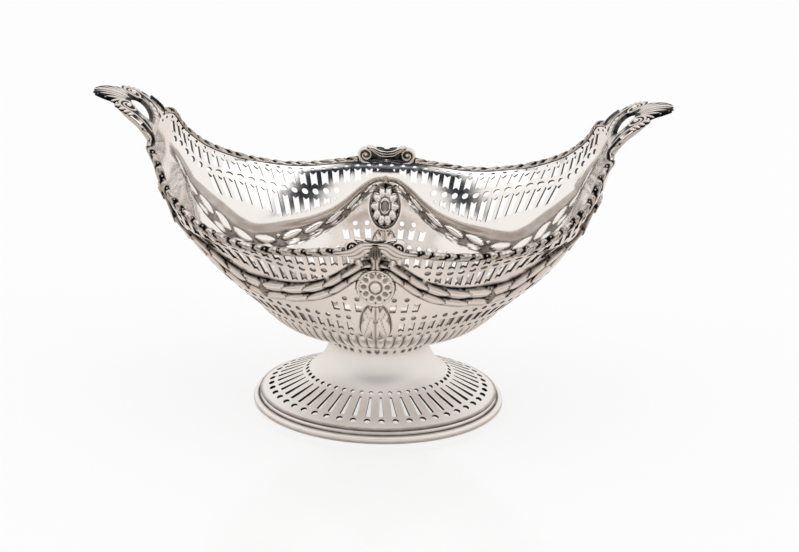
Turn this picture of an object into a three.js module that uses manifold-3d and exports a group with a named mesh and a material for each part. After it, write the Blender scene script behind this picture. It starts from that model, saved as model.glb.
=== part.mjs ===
// Boat-shaped silver basket on an oval spreading foot.
// Sheet silver is raised into a bowl, stamped with laurel garlands and sawn through in rows of openings.
// Units are millimetres, Z is up, X runs along the basket, and the origin is under the middle of the foot.
import * as THREE from "three";
import { mergeVertices } from "three/addons/utils/BufferGeometryUtils.js";
import Module from "manifold-3d";

const wasm = await Module();
wasm.setup();

// Driving sizes
const seatGap = 0.3; // left between pieces that are soldered together on the real basket
const sheet = 1.1; // thickness of the bowl and foot metal

const stemTopHeight = 26.6;
const collarThickness = 1.2;
const bowlBaseHeight = stemTopHeight + collarThickness + 2 * seatGap;
const bowlDepth = 47.2; // from the bowl's base to the rim beside the crest
const rimHeight = bowlBaseHeight + bowlDepth;
const bowlHalfLength = 69.8; // at the height of the rim beside the crest
const bowlHalfWidth = 40.3;
const endRise = 24.6; // how far the rim climbs from the crest to the handles

const footHalfLength = 42.0;
const footOvalness = 0.78; // the foot's width over its length
const stemHalfLength = 17.5;
const borderWidth = 3.6;
const borderHeight = 4.5;
const borderOverhang = 2.2;

const upperColumns = 108;
const upperOpeningShare = 0.54; // share of a column that is sawn away
const columnLean = 0.45; // 0 where columns point at the middle, 1 where they run straight down
const slotStart = 2.4; // from the rim down to the first slots
const slotLength = 6.4;
const upperBand = 4.7; // from the first row of slots down to the second
const openingBar = 1.15; // least metal between one row and the next
const longestLowerSlot = 9.5;
const shortestSlot = 2.2;

const lowerColumns = 68;
const lowerOpeningShare = 0.56;
const basalSlotTop = 44.0;
const basalSlotLength = 5.2;

const footColumns = 48;
const footOpeningShare = 0.46;
const footEdgeBand = 3.6; // plain metal between the foot's edge and its outer holes
const footHole = 2.4;
const footBar = 1.2;
const footSlotLength = 9.8;

const reliefRoot = 0.92; // how far the relief work is sunk into the sheet
const garlandWidth = 9.2;
const garlandRelief = 1.4;
const garlandTaper = 0.62; // width share where a garland starts and ends
const leafLength = 8.2;
const leafPinch = 0.74; // width share at the root of each leaf
const cornerDegrees = 15; // plan direction of the corner between a side and an end
const tieSize = 5.4;
const medallionHalfWidth = 6.4;
const medallionHalfHeight = 8.0;
const medallionHeight = 60.2;
const medallionRelief = 1.2;
const pendantHeight = 44.6;
const pendantHalfHeight = 8.7;
const pendantHalfWidth = 5.9;
const pendantRelief = 1.3;
const recessRoof = 0.1; // how deep under the outer face the hollow behind the relief work ends
const recessShare = 0.7; // width of that hollow as a share of the relief work

const mouldingOutside = 2.1; // how far the rim moulding stands out from the bowl
const mouldingInside = 1.5;
const mouldingThickness = 1.5;
const mouldingRepeat = 4.7;
const mouldingPinch = 0.8;
const mouldingEndGap = 1.0; // from the handle's root to the end of the moulding

const crestHalfWidth = 10.0;
const crestHeight = 5.4;
const voluteRadius = 2.9;
const voluteEye = 1.3;
const crestThickness = 3.2;
const crestSetBack = 0.3; // from the moulding's outer face to the crest's

const handleRootHalfWidth = 15.6;
const handleHoleHalfWidth = 5.4;
const handleHoleHalfHeight = 4.9;
const handleFrame = 1.0; // width of the raised frame round the hole
const handleThickness = 2.2;
const handleReach = 20.8; // from the bowl's end to the handle's tip
const handleRise = 12.6;
const handleVolute = 3.3;
const handleVoluteAside = 6.4;

const SILVER = { color: 0xd9d5cf, roughness: 0.22, metalness: 1.0 };

// Shape of the bowl: rise as a share of its depth, then length, width and bluntness of the plan
const bowlStations = [
  [0.0, 0.28, 0.38, 2.0],
  [0.06, 0.47, 0.55, 1.9],
  [0.165, 0.58, 0.67, 1.68],
  [0.27, 0.666, 0.749, 1.55],
  [0.376, 0.752, 0.809, 1.5],
  [0.504, 0.84, 0.864, 1.5],
  [0.631, 0.91, 0.903, 1.55],
  [0.78, 0.957, 0.945, 1.95],
  [0.907, 0.979, 0.975, 2.7],
  [1.0, 1.0, 1.0, 3.4],
  [1.135, 1.037, 1.03, 3.5],
  [1.31, 1.1, 1.074, 3.3],
  [1.52, 1.135, 1.122, 2.85],
];

// Sweep of the rim: plan direction in degrees from the end, then rise as a share of the end rise
const rimStations = [
  [0, 1.0],
  [12, 1.0],
  [16.6, 0.94],
  [22.2, 0.55],
  [26.7, 0.3],
  [31.1, 0.15],
  [36.1, 0.03],
  [41.5, -0.045],
  [46.8, -0.08],
  [53, -0.09],
  [61, -0.07],
  [75, -0.02],
  [90, 0.0],
];

// Course of a garland: plan direction in degrees, then height as a share of the bowl's depth
const garlandStations = [
  [88.5, 0.85],
  [84, 0.84],
  [78, 0.795],
  [71, 0.716],
  [62, 0.628],
  [53, 0.563],
  [45, 0.525],
  [36, 0.5],
  [28, 0.497],
  [21, 0.526],
  [17.1, 0.61],
  [15.2, 0.74],
  [13.7, 0.9],
  [12.6, 1.08],
  [11.8, 1.2],
];

// Profile of the foot from its edge up to the stem: share of the way in, then share of the way up
const footRun = footHalfLength - stemHalfLength;
const footStations = [
  [0.0, 0.0],
  [0.16, 0.08],
  [0.36, 0.17],
  [0.56, 0.27],
  [0.73, 0.385],
  [0.865, 0.52],
  [0.955, 0.68],
  [1.0, 0.84],
  [1.0, 1.0],
];

const TURN = 2 * Math.PI;
const radians = (degrees) => (degrees * Math.PI) / 180;

// A monotone curve through a list of stations, for one of its columns
function smooth(stations, column) {
  const x = stations.map((station) => station[0]);
  const y = stations.map((station) => station[column]);
  const last = x.length - 1;
  const slope = [];
  for (let i = 0; i < last; i++) slope.push((y[i + 1] - y[i]) / (x[i + 1] - x[i]));
  const tangent = slope.map((s, i) => {
    if (i === 0) return s;
    return s * slope[i - 1] <= 0 ? 0 : (2 * s * slope[i - 1]) / (s + slope[i - 1]);
  });
  tangent.push(slope[last - 1]);
  return (at) => {
    let i = 0;
    while (i < last - 1 && at > x[i + 1]) i++;
    const width = x[i + 1] - x[i];
    const t = Math.min(1, Math.max(0, (at - x[i]) / width));
    const rise = t * t * (3 - 2 * t);
    const start = t * (1 - t) * (1 - t) * width * tangent[i];
    const end = t * t * (1 - t) * width * tangent[i + 1];
    return y[i] + (y[i + 1] - y[i]) * rise + start - end;
  };
}

const lengthShare = smooth(bowlStations, 1);
const widthShare = smooth(bowlStations, 2);
const bluntness = smooth(bowlStations, 3);
const rimShare = smooth(rimStations, 1);

// Plan direction folded into the first quarter, in degrees
function quarterDegrees(angle) {
  const fromEnd = Math.abs(Math.atan2(Math.sin(angle), Math.cos(angle)));
  return (Math.min(fromEnd, Math.PI - fromEnd) * 180) / Math.PI;
}

const rimAt = (angle) => rimHeight + endRise * rimShare(quarterDegrees(angle));

// A point of the bowl's outer face, in a plan direction and at a height
function facePoint(angle, height) {
  const rise = (height - bowlBaseHeight) / bowlDepth;
  const power = bluntness(rise);
  const x = Math.abs(Math.cos(angle)) / (bowlHalfLength * lengthShare(rise));
  const y = Math.abs(Math.sin(angle)) / (bowlHalfWidth * widthShare(rise));
  const reach = (x ** power + y ** power) ** (-1 / power);
  return new THREE.Vector3(reach * Math.cos(angle), reach * Math.sin(angle), height);
}

function faceNormal(angle, height) {
  const turn = 0.02;
  const climb = bowlDepth * 0.008;
  const round = facePoint(angle + turn, height).sub(facePoint(angle - turn, height));
  const up = facePoint(angle, height + climb).sub(facePoint(angle, height - climb));
  return round.cross(up).normalize();
}

// A point at a depth under the outer face; a negative depth stands proud of it
function wallPoint(angle, height, depth) {
  return facePoint(angle, height).addScaledVector(faceNormal(angle, height), -depth);
}

// Where a column that starts at an angle on the rim has got to at a height: it leans out from the radius
function leanedAngle(angle, height) {
  const quarter = radians(quarterDegrees(angle));
  const rise = (height - bowlBaseHeight) / bowlDepth;
  const straight = facePoint(quarter, rimAt(quarter)).x;
  const radial = facePoint(quarter, height).x;
  const { smoothstep } = THREE.MathUtils;
  const amount = columnLean * smoothstep(rise, 0.45, 0.62) * smoothstep(quarterDegrees(angle), 10, 24);
  const across = (1 - amount) * radial + amount * straight;
  const power = bluntness(rise);
  const share = Math.min(across / (bowlHalfLength * lengthShare(rise)), 0.9999);
  const aside = bowlHalfWidth * widthShare(rise) * (1 - share ** power) ** (1 / power);
  return Math.atan2(Math.sign(Math.sin(angle)) * aside, Math.sign(Math.cos(angle)) * across);
}

// Height reached by going down the wall from the rim by a distance
function heightBelowRim(angle, distance) {
  const step = 0.5;
  let height = rimAt(angle);
  let here = facePoint(angle, height);
  let gone = 0;
  while (gone < distance) {
    const next = facePoint(angle, height - step);
    const length = next.distanceTo(here);
    if (gone + length >= distance) return height - (step * (distance - gone)) / length;
    gone += length;
    height -= step;
    here = next;
  }
  return height;
}

// Angles that share a closed curve into equal lengths, measured from a start of 0
function equalAngles(curve, count, offset) {
  const samples = 1440;
  const lengths = [0];
  for (let i = 0; i < samples; i++) {
    const from = curve((i / samples) * TURN);
    const to = curve(((i + 1) / samples) * TURN);
    lengths.push(lengths[i] + from.distanceTo(to));
  }
  const angles = [];
  let i = 0;
  for (let k = 0; k < count; k++) {
    const wanted = ((k + offset) / count) * lengths[samples];
    while (lengths[i + 1] < wanted) i++;
    const part = (wanted - lengths[i]) / (lengths[i + 1] - lengths[i]);
    angles.push(((i + part) / samples) * TURN);
  }
  return angles;
}

// The two edges of every opening in a ring of columns
function columnEdges(curve, count, share) {
  const left = equalAngles(curve, count, 0.5 - share / 2);
  const right = equalAngles(curve, count, 0.5 + share / 2);
  return left.map((angle, k) => [angle, right[k]]);
}

// A closed geometry from points and triangles
function closedGeometry(points, triangles) {
  const positions = points.flatMap((point) => [point.x, point.y, point.z]);
  return new THREE.BufferGeometry()
    .setAttribute("position", new THREE.Float32BufferAttribute(positions, 3))
    .setIndex(triangles.flat());
}

// One row of openings in a ring of columns. Columns that stay whole keep one point in every two.
function openingRow({ columns, top, bottom, isOpen, tip = 0 }) {
  const angles = [];
  const open = new Set();
  columns.forEach(([left, right], k) => {
    const middle = (left + right) / 2;
    if (isOpen(middle)) {
      open.add(angles.length);
      angles.push(left, right);
    } else if (k % 2 === 0) {
      angles.push(middle);
    }
  });
  return [
    { angles, at: top, open, tip },
    { angles, at: bottom },
  ];
}

// A sheet with openings. Loops run down the wall; each has its angles and its place at an angle.
// A cell under a loop is open where the loop says so. A tip is how far the middle of an opening's
// end stands beyond its corners.
function piercedSheet({ loops, surface, thickness, closing }) {
  const points = [];
  const triangles = [];
  const add = (angle, place) => {
    points.push(surface(angle, place, 0), surface(angle, place, thickness));
    return { angle, corner: points.length - 2 };
  };
  // Corners are given clockwise as seen from outside
  const face = (...corners) => {
    for (let i = 1; i < corners.length - 1; i++) {
      triangles.push([corners[0], corners[i + 1], corners[i]]);
      triangles.push([corners[0] + 1, corners[i] + 1, corners[i + 1] + 1]);
    }
  };
  // The cut edge of the metal, with the metal on the left of the way from a to b
  const edge = (a, b) => {
    triangles.push([b, a, a + 1]);
    triangles.push([b, a + 1, b + 1]);
  };
  const rings = loops.map(({ angles, at }) => angles.map((angle) => add(angle, at(angle))));
  const above = rings.map((ring) => [...ring]);
  const below = rings.map((ring) => [...ring]);
  loops.forEach(({ angles, at, open, tip }, i) => {
    if (!open) return;
    const ring = rings[i];
    const foot = rings[i + 1];
    for (let j = 0; j < ring.length; j++) {
      const k = (j + 1) % ring.length;
      if (!open.has(j)) {
        face(ring[j].corner, ring[k].corner, foot[k].corner, foot[j].corner);
        continue;
      }
      const outline = [ring[j], ring[k], foot[k], foot[j]];
      if (tip) {
        const middle = (angles[j] + angles[k]) / 2;
        const high = add(middle, at(middle) + tip);
        const low = add(middle, loops[i + 1].at(middle) - tip);
        above[i].splice(above[i].indexOf(ring[j]) + 1, 0, high);
        below[i + 1].splice(below[i + 1].indexOf(foot[j]) + 1, 0, low);
        outline.splice(3, 0, low);
        outline.splice(1, 0, high);
      }
      outline.forEach(({ corner }, n) => edge(corner, outline[(n + 1) % outline.length].corner));
    }
  });
  for (let i = 0; i < loops.length - 1; i++) {
    if (!loops[i].open) zip(below[i], above[i + 1], face);
  }
  const first = rings[0];
  first.forEach(({ corner }, j) => edge(first[(j + 1) % first.length].corner, corner));
  const lowest = rings[rings.length - 1];
  if (closing === undefined) {
    lowest.forEach(({ corner }, j) => edge(corner, lowest[(j + 1) % lowest.length].corner));
  } else {
    points.push(new THREE.Vector3(0, 0, closing), new THREE.Vector3(0, 0, closing + thickness));
    const centre = points.length - 2;
    lowest.forEach(({ corner }, j) => face(centre, corner, lowest[(j + 1) % lowest.length].corner));
  }
  return closedGeometry(points, triangles);
}

// Joins two closed loops that have different angles by one ring of triangles
function zip(upper, lower, face) {
  let i = 0;
  let j = 0;
  const at = (ring, n) => ring[n % ring.length].angle + (n >= ring.length ? TURN : 0);
  while (i < upper.length || j < lower.length) {
    const top = upper[i % upper.length].corner;
    const bottom = lower[j % lower.length].corner;
    if (j === lower.length || (i < upper.length && at(upper, i + 1) <= at(lower, j + 1))) {
      face(top, upper[(i + 1) % upper.length].corner, bottom);
      i++;
    } else {
      face(top, lower[(j + 1) % lower.length].corner, bottom);
      j++;
    }
  }
}

// Skins a row of rings and closes the ends. Points run anticlockwise as seen from beyond the last ring.
function loft(rings) {
  const sides = rings[0].length;
  const points = rings.flat();
  const triangles = [];
  for (let i = 0; i < rings.length - 1; i++) {
    for (let j = 0; j < sides; j++) {
      const a = i * sides + j;
      const b = i * sides + ((j + 1) % sides);
      triangles.push([a, b, b + sides], [a, b + sides, a + sides]);
    }
  }
  const middle = (ring) => {
    const sum = ring.reduce((total, point) => total.add(point), new THREE.Vector3());
    return sum.divideScalar(ring.length);
  };
  points.push(middle(rings[0]), middle(rings[rings.length - 1]));
  const first = points.length - 2;
  const last = points.length - 1;
  const start = (rings.length - 1) * sides;
  for (let j = 0; j < sides; j++) {
    const k = (j + 1) % sides;
    triangles.push([first, k, j], [last, start + j, start + k]);
  }
  return closedGeometry(points, triangles);
}

// Skins a row of rings whose last ring meets the first
function closedLoft(rings) {
  const sides = rings[0].length;
  const count = rings.length;
  const triangles = [];
  for (let i = 0; i < count; i++) {
    for (let j = 0; j < sides; j++) {
      const a = i * sides + j;
      const b = i * sides + ((j + 1) % sides);
      const c = ((i + 1) % count) * sides + ((j + 1) % sides);
      const d = ((i + 1) % count) * sides + j;
      triangles.push([a, b, c], [a, c, d]);
    }
  }
  return closedGeometry(rings.flat(), triangles);
}

// Booleans
function solidOf(geometry) {
  const bare = new THREE.BufferGeometry().setAttribute("position", geometry.getAttribute("position"));
  bare.setIndex(geometry.index);
  const merged = mergeVertices(bare, 1e-4);
  const solid = new wasm.Manifold(
    new wasm.Mesh({
      numProp: 3,
      vertProperties: new Float32Array(merged.attributes.position.array),
      triVerts: new Uint32Array(merged.index.array),
    }),
  );
  return solid;
}

function geometryOf(solid) {
  const mesh = solid.getMesh();
  return new THREE.BufferGeometry()
    .setAttribute("position", new THREE.BufferAttribute(mesh.vertProperties, 3))
    .setIndex(new THREE.BufferAttribute(mesh.triVerts, 1));
}

const join = (geometries) => {
  return geometryOf(geometries.map(solidOf).reduce((whole, part) => whole.add(part)));
};
const cut = (geometry, tool) => geometryOf(solidOf(geometry).subtract(solidOf(tool)));

// The same piece on another side of the basket
function reflected(geometry, x, y) {
  const copy = geometry.clone().applyMatrix4(new THREE.Matrix4().makeScale(x, y, 1));
  if (x * y > 0) return copy;
  const index = Array.from(copy.index.array);
  for (let i = 0; i < index.length; i += 3) [index[i + 1], index[i + 2]] = [index[i + 2], index[i + 1]];
  return copy.setIndex(index);
}

// Garlands
const garlandCurve = new THREE.CatmullRomCurve3(
  garlandStations.map(([degrees, share]) => {
    return new THREE.Vector3(degrees, bowlBaseHeight + share * bowlDepth, 0);
  }),
  false,
  "centripetal",
);

// The middle line of a garland: place on the wall, plan direction, distance along and half-width
const garlandLine = garlandCurve.getPoints(160).map((sample) => {
  return { place: facePoint(radians(sample.x), sample.y), degrees: sample.x };
});
garlandLine[0].along = 0;
for (let i = 1; i < garlandLine.length; i++) {
  const step = garlandLine[i].place.distanceTo(garlandLine[i - 1].place);
  garlandLine[i].along = garlandLine[i - 1].along + step;
}
const garlandLength = garlandLine[garlandLine.length - 1].along;

function garlandHalfWidth(along) {
  const fromEnds = Math.min(along, garlandLength - along);
  const swell = garlandTaper + (1 - garlandTaper) * Math.min(1, fromEnds / (3 * leafLength));
  return (garlandWidth / 2) * swell;
}

// How far a place of the wall is from the edge of the nearest garland
function garlandGap(angle, height) {
  const place = facePoint(radians(quarterDegrees(angle)), height);
  return Math.min(
    ...garlandLine.map((point) => point.place.distanceTo(place) - garlandHalfWidth(point.along)),
  );
}

// Height of a garland's upper edge in a plan direction, on its run from the medallion to the corner
function garlandTop(angle) {
  const degrees = Math.max(cornerDegrees, Math.min(quarterDegrees(angle), garlandStations[0][0]));
  const run = garlandLine.filter((point) => point.degrees >= cornerDegrees);
  const nearest = run.reduce((best, point) => {
    return Math.abs(point.degrees - degrees) < Math.abs(best.degrees - degrees) ? point : best;
  });
  return nearest.place.z + garlandHalfWidth(nearest.along);
}

function garlandShape() {
  const leaves = Math.round(garlandLength / leafLength);
  const rings = [];
  for (let n = 0; n <= 2 * leaves; n++) {
    const atTip = n % 2 === 1;
    const along = ((n + (atTip ? 0.55 : 0)) / (2 * leaves)) * garlandLength;
    const swell = atTip ? 1 : leafPinch;
    const relief = garlandRelief * swell;
    const section = [
      [-0.95, -reliefRoot],
      [0, -reliefRoot],
      [0.95, -reliefRoot],
      [0.6, relief],
      [0, relief * 0.55],
      [-0.6, relief],
    ];
    rings.push(garlandRing(along, swell, section));
  }
  return loft(rings);
}

// The hollow that stamping leaves behind a garland
function garlandRecess() {
  const steps = Math.round(garlandLength / leafLength);
  const section = [
    [-recessShare, -2 * sheet],
    [recessShare, -2 * sheet],
    [recessShare * 0.85, -recessRoof],
    [-recessShare * 0.85, -recessRoof],
  ];
  const rings = [];
  for (let n = 0; n <= steps; n++) {
    const along = garlandWidth / 4 + (n / steps) * (garlandLength - garlandWidth / 2);
    rings.push(garlandRing(along, 1, section));
  }
  return loft(rings);
}

function garlandRing(along, swell, section) {
  const beyond = garlandLine.findIndex((point) => point.along >= along);
  const i = Math.max(1, beyond < 0 ? garlandLine.length - 1 : beyond);
  const from = garlandLine[i - 1];
  const to = garlandLine[i];
  const here = from.place.clone().lerp(to.place, (along - from.along) / (to.along - from.along));
  const forward = to.place.clone().sub(from.place).normalize();
  const side = faceNormal(Math.atan2(here.y, here.x), here.z).cross(forward);
  const half = garlandHalfWidth(along) * swell;
  return section.map(([across, proud]) => {
    const place = here.clone().addScaledVector(side, across * half);
    return wallPoint(Math.atan2(place.y, place.x), place.z, -proud);
  });
}

// A relief pad on the wall: rings of a share of the outline, each at its own height
function reliefPad(centre, outline, profile) {
  const angle = Math.atan2(centre.y, centre.x);
  const normal = faceNormal(angle, centre.z);
  const across = new THREE.Vector3(0, 0, 1).cross(normal).normalize();
  const up = normal.clone().cross(across);
  const rings = profile.map(([share, proud]) => {
    return outline.map(([x, y]) => {
      const place = centre.clone().addScaledVector(across, x * share).addScaledVector(up, y * share);
      return wallPoint(Math.atan2(place.y, place.x), place.z, -proud);
    });
  });
  return loft(rings);
}

function ovalOutline(halfWidth, halfHeight, sides) {
  return Array.from({ length: sides }, (unused, i) => {
    const turn = (i / sides) * TURN;
    return [halfWidth * Math.cos(turn), halfHeight * Math.sin(turn)];
  });
}

const medallionCentre = facePoint(Math.PI / 2, medallionHeight);
const pendantCentre = facePoint(Math.PI / 2, pendantHeight);

function medallionShape() {
  const profile = [
    [1, -reliefRoot],
    [0.97, medallionRelief],
    [0.84, medallionRelief],
    [0.76, medallionRelief * 0.35],
    [0.42, medallionRelief * 0.35],
    [0.3, medallionRelief],
  ];
  return reliefPad(medallionCentre, ovalOutline(medallionHalfWidth, medallionHalfHeight, 14), profile);
}

function pendantShape() {
  const profile = [
    [0.97, -reliefRoot],
    [1, 0.1],
    [0.85, pendantRelief * 0.7],
    [0.3, pendantRelief],
  ];
  return reliefPad(pendantCentre, ovalOutline(pendantHalfWidth, pendantHalfHeight, 12), profile);
}

const recessProfile = [
  [recessShare, -2 * sheet],
  [recessShare * 0.85, -recessRoof],
];

function medallionRecess() {
  const outline = ovalOutline(medallionHalfWidth, medallionHalfHeight, 10);
  return reliefPad(medallionCentre, outline, recessProfile);
}

function pendantRecess() {
  return reliefPad(pendantCentre, ovalOutline(pendantHalfWidth, pendantHalfHeight, 10), recessProfile);
}

function tieShape() {
  const lowest = garlandLine.reduce((best, point) => (point.place.z < best.place.z ? point : best));
  const centre = lowest.place;
  const outline = ovalOutline(tieSize / 2, tieSize * 0.65, 4);
  const profile = [
    [1, -reliefRoot],
    [1, garlandRelief],
    [0.6, garlandRelief * 1.35],
  ];
  return reliefPad(centre, outline, profile);
}

// Bowl
const below = (distance) => (angle) => heightBelowRim(angle, distance);
const level = (height) => () => height;
const onEnd = (angle) => quarterDegrees(angle) < cornerDegrees;

function upperRows() {
  const rim = (angle) => facePoint(angle, rimAt(angle));
  const columns = columnEdges(rim, upperColumns, upperOpeningShare);
  const slotFoot = (angle) => {
    const full = below(slotStart + slotLength)(angle);
    return onEnd(angle) ? full : Math.max(full, garlandTop(leanedAngle(angle, full)) + openingBar);
  };
  const lowerTop = (angle) => {
    const full = below(slotStart + slotLength + upperBand)(angle);
    return Math.min(full, slotFoot(angle) - openingBar);
  };
  const lowerFoot = (angle) => {
    const full = below(slotStart + slotLength + upperBand + longestLowerSlot)(angle);
    const limit = onEnd(angle) ? full : garlandTop(leanedAngle(angle, full)) + openingBar;
    return Math.min(Math.max(full, limit), lowerTop(angle) - shortestSlot / 2);
  };
  const isOpen = (top, foot) => (angle) => {
    const long = top(angle) - foot(angle) > shortestSlot;
    const end = leanedAngle(angle, foot(angle));
    return long && !onEnd(angle) && garlandGap(end, foot(angle)) > openingBar / 2;
  };
  return [
    ...openingRow({
      columns,
      top: below(slotStart),
      bottom: slotFoot,
      isOpen: isOpen(below(slotStart), slotFoot),
    }),
    ...openingRow({
      columns,
      top: lowerTop,
      bottom: lowerFoot,
      isOpen: isOpen(lowerTop, lowerFoot),
    }),
  ];
}

function basalRow() {
  const belt = (angle) => facePoint(angle, basalSlotTop);
  const foot = basalSlotTop - basalSlotLength;
  return openingRow({
    columns: columnEdges(belt, lowerColumns, lowerOpeningShare),
    top: level(basalSlotTop),
    bottom: level(foot),
    isOpen: (angle) => Math.abs(facePoint(angle, foot).x) > pendantHalfWidth + 0.8,
  });
}

function bowlLoops() {
  const rim = (angle) => facePoint(angle, rimAt(angle));
  const belt = (angle) => facePoint(angle, basalSlotTop);
  const base = (angle) => facePoint(angle, bowlBaseHeight);
  const upper = upperRows();
  const lower = basalRow();
  const fromHeight = upper[upper.length - 1].at;
  const between = (share) => (angle) => fromHeight(angle) * (1 - share) + lower[0].at(angle) * share;
  const plain = equalAngles(belt, 52, 0);
  const floor = equalAngles(base, 32, 0);
  return [
    { angles: equalAngles(rim, upperColumns, 0.5), at: rimAt },
    ...upper,
    { angles: plain, at: between(0.2) },
    { angles: plain, at: between(0.42) },
    { angles: plain, at: between(0.7) },
    ...lower,
    { angles: floor, at: level(bowlBaseHeight + bowlDepth * 0.07) },
    { angles: floor, at: level(bowlBaseHeight) },
  ];
}

function bowlShape() {
  const wall = piercedSheet({
    loops: bowlLoops(),
    surface: (angle, height, depth) => wallPoint(leanedAngle(angle, height), height, depth),
    thickness: sheet,
    closing: bowlBaseHeight,
  });
  const garland = garlandShape();
  const recess = garlandRecess();
  const tie = tieShape();
  const reliefs = [];
  const recesses = [];
  for (const y of [1, -1]) {
    reliefs.push(reflected(medallionShape(), 1, y), reflected(pendantShape(), 1, y));
    recesses.push(reflected(medallionRecess(), 1, y), reflected(pendantRecess(), 1, y));
    for (const x of [1, -1]) {
      reliefs.push(reflected(garland, x, y), reflected(tie, x, y));
      recesses.push(reflected(recess, x, y));
    }
  }
  return cut(join([wall, ...reliefs]), join(recesses));
}

// Foot
const footTurnIn = smooth(
  footStations.map(([inward, up], i) => [i, inward, up]),
  1,
);
const footTurnUp = smooth(
  footStations.map(([inward, up], i) => [i, inward, up]),
  2,
);
const footEdgeHeight = borderHeight - 0.1;

function footPoint(angle, place) {
  const a = footHalfLength - footRun * footTurnIn(place);
  const height = footEdgeHeight + (stemTopHeight - footEdgeHeight) * footTurnUp(place);
  return new THREE.Vector3(a * Math.cos(angle), a * footOvalness * Math.sin(angle), height);
}

function footWall(angle, place, depth) {
  const step = 0.01;
  const low = Math.max(0, place - step);
  const high = Math.min(footStations.length - 1, place + step);
  const round = footPoint(angle + step, place).sub(footPoint(angle - step, place));
  const up = footPoint(angle, high).sub(footPoint(angle, low));
  return footPoint(angle, place).addScaledVector(round.cross(up).normalize(), -depth);
}

// Place on the foot's profile at a distance in from its edge
function footPlace(distance) {
  let place = 0;
  let gone = 0;
  const step = 0.02;
  while (gone < distance) {
    gone += footPoint(0, place + step).distanceTo(footPoint(0, place));
    place += step;
  }
  return place;
}

function footShape() {
  const outerRow = (angle) => footPoint(angle, footPlace(footEdgeBand));
  const columns = columnEdges(outerRow, footColumns, footOpeningShare);
  const plain = equalAngles(outerRow, 32, 0);
  const slotStart = footEdgeBand + footHole + footBar;
  const slotEnd = footPlace(slotStart + footSlotLength);
  const stemPlace = (share) => () => slotEnd + (footStations.length - 1 - slotEnd) * share;
  const at = (distance) => () => footPlace(distance);
  const quarter = footHole / 4;
  const loops = [
    { angles: plain, at: stemPlace(1) },
    { angles: plain, at: stemPlace(0.62) },
    { angles: plain, at: stemPlace(0.34) },
    ...openingRow({
      columns,
      top: () => slotEnd,
      bottom: at(slotStart),
      isOpen: () => true,
    }),
    ...openingRow({
      columns,
      top: at(footEdgeBand + footHole - quarter),
      bottom: at(footEdgeBand + quarter),
      isOpen: () => true,
      tip: footPlace(footEdgeBand + quarter) - footPlace(footEdgeBand),
    }),
    { angles: plain, at: () => 0 },
  ];
  return piercedSheet({ loops, surface: footWall, thickness: sheet });
}

// Rings set round an oval, from a section of distances outward and heights
function ovalRing(halfLength, halfWidth, section, steps) {
  const rings = [];
  for (let i = 0; i < steps; i++) {
    const turn = (-i / steps) * TURN;
    const place = new THREE.Vector3(halfLength * Math.cos(turn), halfWidth * Math.sin(turn), 0);
    const out = new THREE.Vector3(halfWidth * Math.cos(turn), halfLength * Math.sin(turn), 0).normalize();
    rings.push(
      section.map(([outward, height]) => place.clone().addScaledVector(out, outward).setZ(height)),
    );
  }
  return closedLoft(rings);
}

function footBorderShape() {
  const under = footEdgeHeight - sheet - seatGap;
  const inner = borderOverhang - borderWidth;
  const section = [
    [inner, 0],
    [borderOverhang, 0],
    [borderOverhang, 1.3],
    [borderOverhang - 0.6, 1.8],
    [borderOverhang - 0.4, 3.0],
    [borderOverhang - 1.1, borderHeight],
    [seatGap, borderHeight],
    [seatGap, under],
    [inner, under],
  ];
  return ovalRing(footHalfLength, footHalfLength * footOvalness, section, 36);
}

function collarShape() {
  const low = stemTopHeight + seatGap;
  const high = low + collarThickness;
  const middle = (low + high) / 2;
  const section = [
    [-1.4, low],
    [0.3, low],
    [0.9, middle],
    [0.3, high],
    [-1.4, high],
  ];
  return ovalRing(stemHalfLength, stemHalfLength * footOvalness, section, 24);
}

// Rim moulding
const rimFrame = (angle) => {
  const height = rimAt(angle);
  const step = 0.01;
  const forward = facePoint(angle + step, rimAt(angle + step));
  forward.sub(facePoint(angle - step, rimAt(angle - step))).normalize();
  const normal = faceNormal(angle, height);
  const out = normal.addScaledVector(forward, -normal.dot(forward)).normalize();
  const up = out.clone().cross(forward).normalize();
  return { place: facePoint(angle, height), out, up };
};

function mouldingShape() {
  const start = Math.atan2(bowlHalfWidth, crestHalfWidth + seatGap);
  const root = handleRootHalfWidth + mouldingEndGap;
  let end = start;
  while (facePoint(end, rimAt(end)).y > root) end -= 0.002;
  const steps = 400;
  const angles = Array.from({ length: steps + 1 }, (unused, i) => start + ((end - start) * i) / steps);
  const lengths = [0];
  for (let i = 1; i <= steps; i++) {
    const from = rimFrame(angles[i - 1]).place;
    lengths.push(lengths[i - 1] + rimFrame(angles[i]).place.distanceTo(from));
  }
  const repeats = Math.round(lengths[steps] / mouldingRepeat);
  const rings = [];
  for (let n = 0; n <= 2 * repeats; n++) {
    const wanted = (n / (2 * repeats)) * lengths[steps];
    let i = 1;
    while (i < steps && lengths[i] < wanted) i++;
    const part = (wanted - lengths[i - 1]) / (lengths[i] - lengths[i - 1]);
    const frame = rimFrame(angles[i - 1] + (angles[i] - angles[i - 1]) * part);
    rings.push(mouldingRing(frame, n % 2 === 1 ? 1 : mouldingPinch));
  }
  return loft(rings);
}

function mouldingRing({ place, out, up }, swell) {
  const outside = mouldingOutside * swell;
  const inside = mouldingInside * swell;
  const high = seatGap + mouldingThickness * swell;
  const section = [
    [outside * 0.85, seatGap],
    [outside, seatGap + mouldingThickness * 0.5],
    [0, high],
    [-inside, seatGap + mouldingThickness * 0.5],
    [-inside * 0.85, seatGap],
  ];
  return section.map(([n, u]) => place.clone().addScaledVector(out, n).addScaledVector(up, u));
}

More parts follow.
